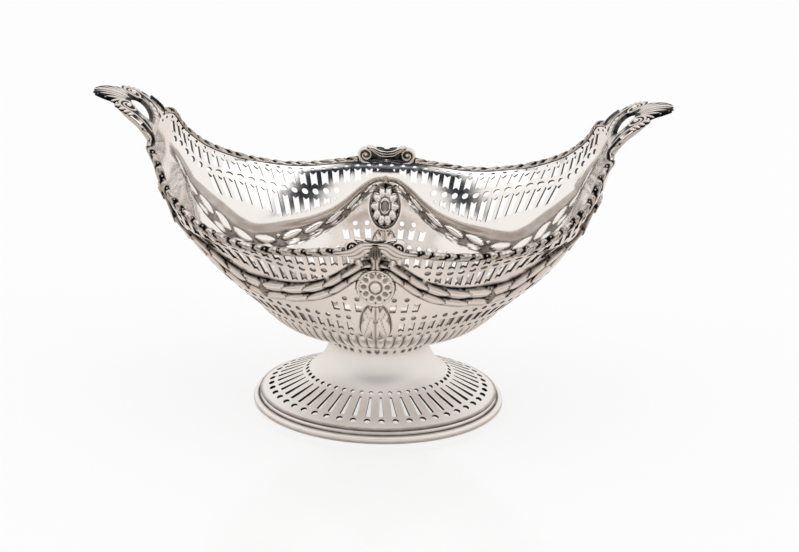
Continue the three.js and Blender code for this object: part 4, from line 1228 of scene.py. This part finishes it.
def handle_plate():
    """Cast plate with its hole, drawn as one half in its own plane."""
    end = HANDLE_LENGTH - PLATE_TIP_GAP
    runs = spaced(0, end, 0.5)
    turn = np.linspace(0, math.pi, 28)
    outline = outline_of(
        joined(0, np.linspace(0, HANDLE_ROOT - PLATE_INSET, 30)),
        joined([*runs, end], [*(handle_half_width(runs) - PLATE_INSET), 0]),
        joined(spaced(end, HOLE_ALONG + HOLE_HALF_LENGTH, 0.6), 0),
        joined(HOLE_ALONG + HOLE_HALF_LENGTH * np.cos(turn), HOLE_HALF_WIDTH * np.sin(turn)),
        joined(spaced(HOLE_ALONG - HOLE_HALF_LENGTH, 0, 0.5), 0),
    )

    def hole_share(places):
        return np.hypot((places[:, 0] - HOLE_ALONG) / HOLE_HALF_LENGTH, places[:, 1] / HOLE_HALF_WIDTH)

    fill = grid(np.arange(0.4, end, 0.55), np.arange(0.4, HANDLE_ROOT, 0.55))
    fill = fill[(fill[:, 1] < handle_half_width(fill[:, 0]) - 0.85) & (hole_share(fill) > 1.06)]
    flat, faces = triangulated(outline, [], [(0.45, fill)])
    along, aside = flat[:, 0], flat[:, 1]
    from_hole = hole_share(flat)
    turn = np.degrees(np.arctan2(aside, HOLE_ALONG - along))
    ray = line_at((turn + 4) % RAY_DEGREES - RAY_DEGREES / 2, 1.6) * (from_hole < 1.9) * (aside < 8)
    # Dark under the plume, between the scrolls, on the rays and at the edge of the hole
    tarnish_and_shade = darkest(
        ease(6.5, 9.5, along),
        0.9 * ease(10.6, 9.6, aside) * ease(7.4, 8.6, aside),
        0.7 * ray,
        0.8 * ease(1.35, 1.15, from_hole),
    )
    above = 0.7 + 0.5 * np.sin(np.clip((from_hole - 1.1) / 0.9, 0, 1) * math.pi) * (along < 6)
    points = handle_point(along, aside, above)
    points[:, 1] = np.where(aside < ON_EDGE, 0, points[:, 1])
    plate = add_mesh("plate", points, faces, tarnish_and_shade)
    complete(plate, False, True)
    outward(plate)
    thicken(plate, HANDLE_METAL, 0)
    return plate


def shoulder_laurel(shape, side):
    """The rim's laurel, carried on up the edge of the handle."""
    start = math.asin((HANDLE_ROOT + MOULDING_END_GAP - 0.2) / BOWL_END)
    runs = np.array([1.2, 3.6, 6.4])
    edge = handle_point(runs, side * (handle_half_width(runs) - 1.0), 0.9)
    line = centripetal([rim_point(start) * np.array([1, side, 1]), *edge], 61)
    length = length_along(line)
    slope = np.stack([np.gradient(column) for column in line.T], -1)

    def frames_at(places):
        ahead = unit(at_length(places, length, slope))
        out = unit(np.cross(ahead, handle_frame(places)[1])) * -side
        return at_length(places, length, line), out, unit(np.cross(out, ahead)) * side

    laurel_run(shape, frames_at, length[-1])


def strand_radii(thin, thick):
    return thin + thick * np.sin(np.linspace(0.05, 0.93, 24) * math.pi) ** 0.7


def add_handle_half(shape, side):
    """Everything raised on one side of a handle, but for the rib in its middle."""
    roll = scroll((VOLUTE_ASIDE, VOLUTE_ALONG), VOLUTE_REACH, VOLUTE_EYE, 0.85, 0, VOLUTE_TURNS, 64)[:, ::-1]
    arm = centripetal(ARM, 34)[:-1]
    width = np.concatenate([np.linspace(0.42, 0.62, len(arm)), np.linspace(0.62, 0.45, len(roll))])
    handle_bar(shape, np.vstack([arm, roll]), side, width, 1.2, 1.0)
    shape.ball(handle_point(VOLUTE_ALONG, side * VOLUTE_ASIDE, 1.5), 0.95, 0.0)
    winding = np.linspace(0, 1, 64)[:30] * VOLUTE_TURNS * TURN
    curl = joined(2.4 - 0.8 * np.sin(winding), 8.9 + 0.8 * np.cos(winding))
    handle_bar(shape, curl, side, 0.4, 1.1)
    handle_bar(shape, centripetal(MIDDLE_REED, 26), side, 0.43, 1.1)
    # Frame round the hole
    turn = np.linspace(0.0, math.radians(148), 30)
    away = 0.55
    x = HOLE_ALONG - (HOLE_HALF_LENGTH + away) * np.cos(turn)
    handle_bar(shape, joined(x, (HOLE_HALF_WIDTH + away) * np.sin(turn)), side, 0.52, 1.0, 1.0)
    # Plain strip along the edge
    strip = spaced(0.0, STRIP_LENGTH, 0.8)
    handle_bar(shape, joined(strip, handle_half_width(strip) - 0.75), side, 0.8, 0.3, 1.3, EDGE_TARNISH)
    # Ruffled leaf outside the scroll
    for n in range(4):
        foot = np.array([10.2 + 1.5 * n, 9.4 - 0.175 * n * n])
        tip = np.array([11.6 + 1.75 * n, 12.0 - 0.275 * n * n])
        lobe = centripetal([foot, (foot + tip) / 2 - np.array([0.3, 0]), tip], 10)
        handle_bar(shape, lobe, side, LOBE_RADII, 1.0, 0.9)
    # Strands of the plume
    for n, (end, aside, start) in enumerate(PLUME):
        strand = centripetal([
            (13.3, start * 0.55), (15.6 + 0.2 * n, start + 0.25 * n),
            (15.6 + (end - 15.6) * 0.55, (start + aside) / 2 + 0.12 * n), (end, aside),
        ], 24)
        handle_bar(shape, strand, side, strand_radii(0.26, 0.52), 0.95, 0.95)
    shoulder_laurel(shape, side)


def make_handle():
    shape = Shape()
    for side in (-1, 1):
        add_handle_half(shape, side)
    rib = joined(np.linspace(RIB_START, HANDLE_LENGTH - PLATE_TIP_GAP / 2, 24), 0)
    handle_bar(shape, rib, 1, strand_radii(0.3, 0.5), 1.2, 0.95)
    handle = handle_plate()
    select_only(handle, shape.made("scrolls", 50))
    bpy.ops.object.join()
    handle.name = "handle_right_scrolls"
    handle.data.name = handle.name
    smooth_faces(handle, 50)
    return handle


# Foot
FOOT_COLUMNS = 12  # in a quarter
FOOT_SHEET = 1.0
FOOT_EDGE_BAND = 3.4
FOOT_HOLE = 2.3
FOOT_SLOT = 9.8
FOOT_BAR = 1.15
FOOT_INNER_HOLE = 1.6
STEM_HALF_LENGTH = 17.5
STEM_DOTS = 9  # punched round the top of the stem, in a quarter
STEM_DOTS_DOWN = 1.6
BORDER_OVERHANG = 2.2
BORDER_LIP = 1.4
COLLAR_WIRE = 1.1
BEAD_HALF_WIDTH = 1.3
BEAD_HALF_HEIGHT = 1.1
BEAD_HEIGHT = 1.5
# Top of the border's section above its bead: way in from its outermost line, height and tarnish
BORDER_TOP = [
    (1.9, 2.5, 0.8), (2.2, 2.55, 0.5), (2.5, 3.2, 0.02), (2.9, 3.75, 0.02),
    (3.4, 4.15, 0.02), (3.9, 4.35, 0.1), (4.3, 4.25, 0.6),
]

# From the edge to the top of the stem: shares of the way in and of the way up
FOOT_STATIONS = [
    (0.0, 0.0), (0.16, 0.08), (0.36, 0.17), (0.56, 0.27), (0.73, 0.385), (0.865, 0.52), (0.955, 0.68),
    (1.0, 0.84), (1.0, 1.0),
]
# Outline of a foot slot: side as a share of half the column, height above its lower end, and 1 at its top
FOOT_SLOT_OUTLINE = [
    (-0.34, 0, 0), (0.34, 0, 0), (0.37, 0.7, 0), (0.2, 0, 1), (-0.2, 0, 1), (-0.37, 0.7, 0),
]
_line = centripetal(FOOT_STATIONS, 400)
FOOT_FACE = joined(
    FOOT_HALF_LENGTH - (FOOT_HALF_LENGTH - STEM_HALF_LENGTH) * _line[:, 0],
    FOOT_EDGE + (STEM_TOP - FOOT_EDGE) * _line[:, 1],
)
FOOT_DISTANCE = length_along(FOOT_FACE)


def foot_point(angle, distance):
    face = at_length(distance, FOOT_DISTANCE, FOOT_FACE)
    half = face[..., 0]
    return joined(half * np.cos(angle), half * OVALNESS * np.sin(angle), face[..., 1])


def make_foot():
    """Spreading foot, drawn as a quarter on a plan of its angle and its distance from the edge."""
    scale = FOOT_HALF_LENGTH * 0.75
    plan_end = scale * QUARTER
    top = FOOT_DISTANCE[-1]

    def plan(angle, distance):
        return joined(np.asarray(angle, float) * scale, distance)

    def drilled(middle, distance, size, corners=12):
        reach = radius_there(foot_point, middle, distance)
        turn = around(corners)
        return plan(middle + size / 2 * np.cos(turn) / reach, distance + size / 2 * np.sin(turn))

    openings = []
    half = QUARTER / FOOT_COLUMNS / 2
    hole = FOOT_EDGE_BAND + FOOT_HOLE / 2
    low = hole + FOOT_HOLE / 2 + FOOT_BAR
    high = low + FOOT_SLOT
    for middle in np.linspace(half, QUARTER - half, FOOT_COLUMNS):
        openings.append(drilled(middle, hole, FOOT_HOLE))
        sides, rises, ends = np.array(FOOT_SLOT_OUTLINE).T
        openings.append(plan(middle + half * sides, np.where(ends, high, low + rises)))
        openings.append(drilled(middle, high + FOOT_BAR + FOOT_INNER_HOLE / 2, FOOT_INNER_HOLE, 10))
    outline = outline_of(
        plan(spaced(0, QUARTER, 0.03), 0.0),
        plan(QUARTER, spaced(0, top, 0.9)),
        plan(spaced(QUARTER, 0, 0.03), top),
        plan(0.0, spaced(top, 0, 0.9)),
    )
    fill = grid(np.arange(0.7, plan_end, 1.3), np.arange(0.6, top, 0.8))
    flat, faces = triangulated(outline, openings, [(0.7, fill)])
    angle, distance = flat[:, 0] / scale, flat[:, 1]
    points = foot_point(angle, distance)
    snap_to_middle(points, flat[:, 0], plan_end)
    dots = line_at(distance - top + STEM_DOTS_DOWN, 0.5) * (np.cos(angle * STEM_DOTS * 4) > 0.2)
    tarnish_and_shade = np.maximum(0.5 * line_at(distance, 0.7) + 0.03, 0.9 * dots)
    foot = add_mesh("foot_pierced", points, faces, tarnish_and_shade)
    make_sheet(foot, spun_silver, FOOT_SHEET)
    smooth_faces(foot, 38)
    return foot


def oval_ring(name, section, steps, degrees):
    """A ring swept round an oval: its section gives half-length, half-width, height and tarnish."""
    turn = np.linspace(0, TURN, steps, endpoint=False)[:, None]
    half, wide, height, tarnish_and_shade = np.array(section).T
    shape = Shape()
    shape.add_rings(joined(half * np.cos(turn), wide * np.sin(turn), height), tarnish_and_shade, closed_run=True)
    return shape.made(name, degrees)


def make_foot_border():
    """Drawn wire border: a bead, a hollow and a broad half-round, standing on the table."""
    inner = FOOT_HALF_LENGTH - BORDER_LIP
    edge = FOOT_HALF_LENGTH + BORDER_OVERHANG
    section = [(inner, 0.0, 0.3), (edge - 0.5, 0.0, 0.2), (edge, 0.5, 0.05)]
    for turn in np.radians(-60 + 25 * np.arange(7)):
        reach = edge - BEAD_HALF_WIDTH + BEAD_HALF_WIDTH * math.cos(turn)
        section.append((reach, BEAD_HEIGHT + BEAD_HALF_HEIGHT * math.sin(turn), 0.03))
    for inwards, height, tarnish_and_shade in BORDER_TOP:
        section.append((edge - inwards, height, tarnish_and_shade))
    section.append((inner - 0.4, 3.3, 0.5))
    narrower = FOOT_HALF_LENGTH - FOOT_HALF_WIDTH
    section = [(half, half - narrower, height, tarnish_and_shade) for half, height, tarnish_and_shade in section]
    return oval_ring("foot_border_wire", section, 192, 35)


def make_collar():
    low, high = node_box("bowl_collar")
    tarnish_and_shade = [0.03, 0.1, 0.4, 0.6, 0.6, 0.6, 0.6, 0.6, 0.4, 0.1]
    section = []
    for turn, dark in zip(around(len(tarnish_and_shade)), tarnish_and_shade):
        inwards = COLLAR_WIRE * (math.cos(turn) - 1)
        height = (low[2] + high[2]) / 2 + (high[2] - low[2]) / 2 * math.sin(turn)
        section.append((high[0] + inwards, high[1] + inwards, height, dark))
    return oval_ring("bowl_collar_ring", section, 128, 50)


# Materials
def colour(text):
    """An sRGB hex colour as the linear colour that Blender works with."""
    values = [int(text[i : i + 2], 16) / 255 for i in (1, 3, 5)]
    return (*[v / 12.92 if v <= 0.04045 else ((v + 0.055) / 1.055) ** 2.4 for v in values], 1.0)


def add_node(tree, kind, links=None, **settings):
    """Adds a node with its settings, and links or values for its inputs by name or number."""
    node = tree.nodes.new("ShaderNode" + kind)
    for key, value in settings.items():
        setattr(node, key, value)
    for key, value in (links or {}).items():
        if isinstance(value, bpy.types.NodeSocket):
            tree.links.new(value, node.inputs[key])
        else:
            node.inputs[key].default_value = value
    return node


def map_range(tree, value, start, end, low, high):
    links = {"Value": value, "From Min": start, "From Max": end, "To Min": low, "To Max": high}
    return add_node(tree, "MapRange", links).outputs[0]


def multiply(tree, first, second, clamp=False):
    links = {0: first, 1: second}
    return add_node(tree, "Math", links, operation="MULTIPLY", use_clamp=clamp).outputs[0]


def colours_by(tree, share, *stops):
    """A ramp whose stops are places and hex colours, the first at 0 and the last at 1."""
    ramp = add_node(tree, "ValToRGB", {"Fac": share})
    elements = ramp.color_ramp.elements
    elements[0].color = colour(stops[0][1])
    elements[1].color = colour(stops[-1][1])
    for place, text in stops[1:-1]:
        elements.new(place).color = colour(text)
    return ramp.outputs["Color"]


def noise(tree, place, scale, detail):
    links = {"Vector": place, "Scale": scale, "Detail": detail}
    return add_node(tree, "TexNoise", links).outputs["Fac"]


def empty_tree(owner):
    owner.use_nodes = True
    owner.node_tree.nodes.clear()
    return owner.node_tree


TARNISHED = 0.5  # roughness of sulphide


def silver(name, bright, dark, roughness, grain):
    """Sterling silver, polished by hand: clean on the high places, black sulphide left in the recesses, and
    the same dark colours used for the painted shade kept with the tarnish.
    """
    material = bpy.data.materials.new(name)
    tree = empty_tree(material)
    place = add_node(tree, "TexCoord").outputs["Object"]
    # Tarnish and painted shade, kept on the points of each piece
    tarnish_and_shade = add_node(tree, "Attribute", attribute_name="tarnish_and_shade").outputs["Fac"]
    # Clouds a few millimetres wide, where polishing has left the sulphide uneven
    uneven = map_range(tree, noise(tree, place, 240.0, 3.0), 0.3, 0.7, 0.92, 1.3)
    cover = multiply(tree, tarnish_and_shade, uneven, clamp=True)
    # Fine scratches of the polishing cloth, drawn about 0.3 mm wide so that they show
    scratches = noise(tree, place, grain, 4.0)
    bump = add_node(tree, "Bump", {"Height": scratches, "Strength": 0.06, "Distance": 0.0002})
    shader = add_node(tree, "BsdfPrincipled", {
        "Base Color": colours_by(tree, cover, (0, bright), (0.4, "#B3A9A0"), (1, dark)),
        "Metallic": 1.0,
        "Roughness": map_range(tree, cover, 0.0, 1.0, roughness, TARNISHED),
        "Normal": bump.outputs["Normal"],
    })
    add_node(tree, "OutputMaterial", {"Surface": shader.outputs[0]})
    return material


sheet_silver = silver("rolled_sterling_silver", "#F4EEE9", "#0E1116", 0.13, 900.0)
spun_silver = silver("spun_sterling_silver", "#F6F1EC", "#0E1116", 0.44, 900.0)
cast_silver = silver("cast_sterling_silver", "#EBE3DC", "#0C0E12", 0.15, 1100.0)
sawn_silver = silver("sawn_sterling_silver", "#5E5A58", "#0C0E12", 0.35, 1400.0)


def place_on_part(piece, node, material=None):
    """Puts a piece in the place of a node of the part, and gives it a material where one is named."""
    if material:
        piece.data.materials.append(material)
    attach(piece, "root")
    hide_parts(node)


place_on_part(make_bowl(), "bowl")
place_on_part(make_foot(), "foot")
place_on_part(make_collar(), "bowl_collar", sheet_silver)
place_on_part(make_foot_border(), "foot_border", spun_silver)

# Cast mounts, each placed before it is mirrored: a copy keeps its material and adds its own node
moulding = make_moulding()
place_on_part(moulding, "rim_moulding_back_right", cast_silver)
for side, x, y in (("back_left", -1, 1), ("front_left", -1, -1), ("front_right", 1, -1)):
    copy = mirrored(moulding, "rim_moulding_" + side + "_laurel", x, y)
    place_on_part(copy, "rim_moulding_" + side)
crest = make_crest()
place_on_part(crest, "rim_crest_back", cast_silver)
place_on_part(mirrored(crest, "rim_crest_front_scrolls", 1, -1), "rim_crest_front")
handle = make_handle()
place_on_part(handle, "handle_right", cast_silver)
place_on_part(mirrored(handle, "handle_left_scrolls", -1, 1), "handle_left")


# Floor, light and camera
PLAIN_WHITE = 0.72  # share of the floor that is white to the camera, whatever light falls on it


def make_floor():
    """White studio sweep: polished enough to mirror the foot faintly, and white to the camera."""
    material = bpy.data.materials.new("white_backdrop")
    tree = empty_tree(material)
    camera_ray = add_node(tree, "LightPath").outputs["Is Camera Ray"]
    tint = colours_by(tree, camera_ray, (0, "#EFE7E1"), (1, "#F6F6F6"))
    paint = add_node(tree, "BsdfPrincipled", {"Base Color": tint, "Roughness": 0.12, "IOR": 1.9})
    white = add_node(tree, "Emission", {"Color": colour("#FFFFFF"), "Strength": 1.0})
    seen = multiply(tree, camera_ray, PLAIN_WHITE)
    mix = add_node(tree, "MixShader", {0: seen, 1: paint.outputs[0], 2: white.outputs[0]})
    add_node(tree, "OutputMaterial", {"Surface": mix.outputs[0]})
    bpy.ops.object.select_all(action="DESELECT")
    bpy.ops.mesh.primitive_plane_add(size=6.0, location=(0, 0, 0))
    floor = bpy.context.object
    floor.name = "white_floor"
    floor.data.materials.append(material)


def make_world():
    """White studio walls, with the unlit end of the room behind the camera for the silver to mirror."""
    world = bpy.data.worlds.new("studio")
    bpy.context.scene.world = world
    tree = empty_tree(world)
    camera_ray = add_node(tree, "LightPath").outputs["Is Camera Ray"]
    direction = add_node(tree, "TexCoord").outputs["Generated"]
    split = add_node(tree, "SeparateXYZ", {"Vector": direction})
    front = map_range(tree, split.outputs["Y"], -0.65, -0.5, 1.0, 0.0)
    above = map_range(tree, split.outputs["Z"], 0.46, 0.54, 0.0, 1.0)
    below = map_range(tree, split.outputs["Z"], 0.8, 0.84, 1.0, 0.0)
    unlit = multiply(tree, front, multiply(tree, above, below))
    walls = colours_by(tree, unlit, (0, "#FFFFFF"), (1, "#16202C"))
    studio = add_node(tree, "Background", {"Color": walls, "Strength": 1.0})
    white = add_node(tree, "Background", {"Color": (1, 1, 1, 1), "Strength": 1.0})
    mix = add_node(tree, "MixShader", {0: camera_ray, 1: studio.outputs[0], 2: white.outputs[0]})
    add_node(tree, "OutputWorld", {"Surface": mix.outputs[0]})


def aimed(place, target):
    return (Vector(target) - Vector(place)).to_track_quat("-Z", "Y")


def add_to_scene(name, data, place, turn):
    thing = bpy.data.objects.new(name, data)
    bpy.context.scene.collection.objects.link(thing)
    thing.location = place
    thing.rotation_euler = turn.to_euler()
    return thing


def make_softbox():
    light = bpy.data.lights.new("overhead_softbox", "AREA")
    light.shape = "RECTANGLE"
    light.size = 1.2
    light.size_y = 1.0
    light.energy = 2.0
    place = (0.1, -0.3, 1.2)
    add_to_scene("overhead_softbox", light, place, aimed(place, (0, 0, 0.05)))


CAMERA_AZIMUTH = math.radians(2.3)
CAMERA_ELEVATION = math.radians(24.0)
CAMERA_ROLL = math.radians(1.1)
CAMERA_DISTANCE = 1000.0
FOCAL_PIXELS = 2865.0
PHOTO_WIDTH = 799
PHOTO_HEIGHT = 552
AIM_PIXEL = (380.0, 271.5)  # where the middle of the basket, 50 mm up, shows
AIM_HEIGHT = 50.0


def make_camera():
    level = math.cos(CAMERA_ELEVATION)
    back = Vector((
        math.sin(CAMERA_AZIMUTH) * level, -math.cos(CAMERA_AZIMUTH) * level, math.sin(CAMERA_ELEVATION)
    ))
    right = Vector((math.cos(CAMERA_AZIMUTH), math.sin(CAMERA_AZIMUTH), 0))
    aim = Vector((0, 0, AIM_HEIGHT))
    scale = FOCAL_PIXELS / CAMERA_DISTANCE
    target = aim + right * ((PHOTO_WIDTH / 2 - AIM_PIXEL[0]) / scale)
    target += back.cross(right) * ((AIM_PIXEL[1] - PHOTO_HEIGHT / 2) / scale)
    place = aim + back * CAMERA_DISTANCE
    data = bpy.data.cameras.new("camera")
    data.sensor_width = 36.0
    data.lens = FOCAL_PIXELS * data.sensor_width / PHOTO_WIDTH
    turn = aimed(place, target).to_matrix().to_4x4() @ Matrix.Rotation(CAMERA_ROLL, 4, "Z")
    bpy.context.scene.camera = add_to_scene("camera", data, place * MM, turn)


make_floor()
make_world()
make_softbox()
make_camera()
bpy.context.scene.view_settings.view_transform = "Standard"
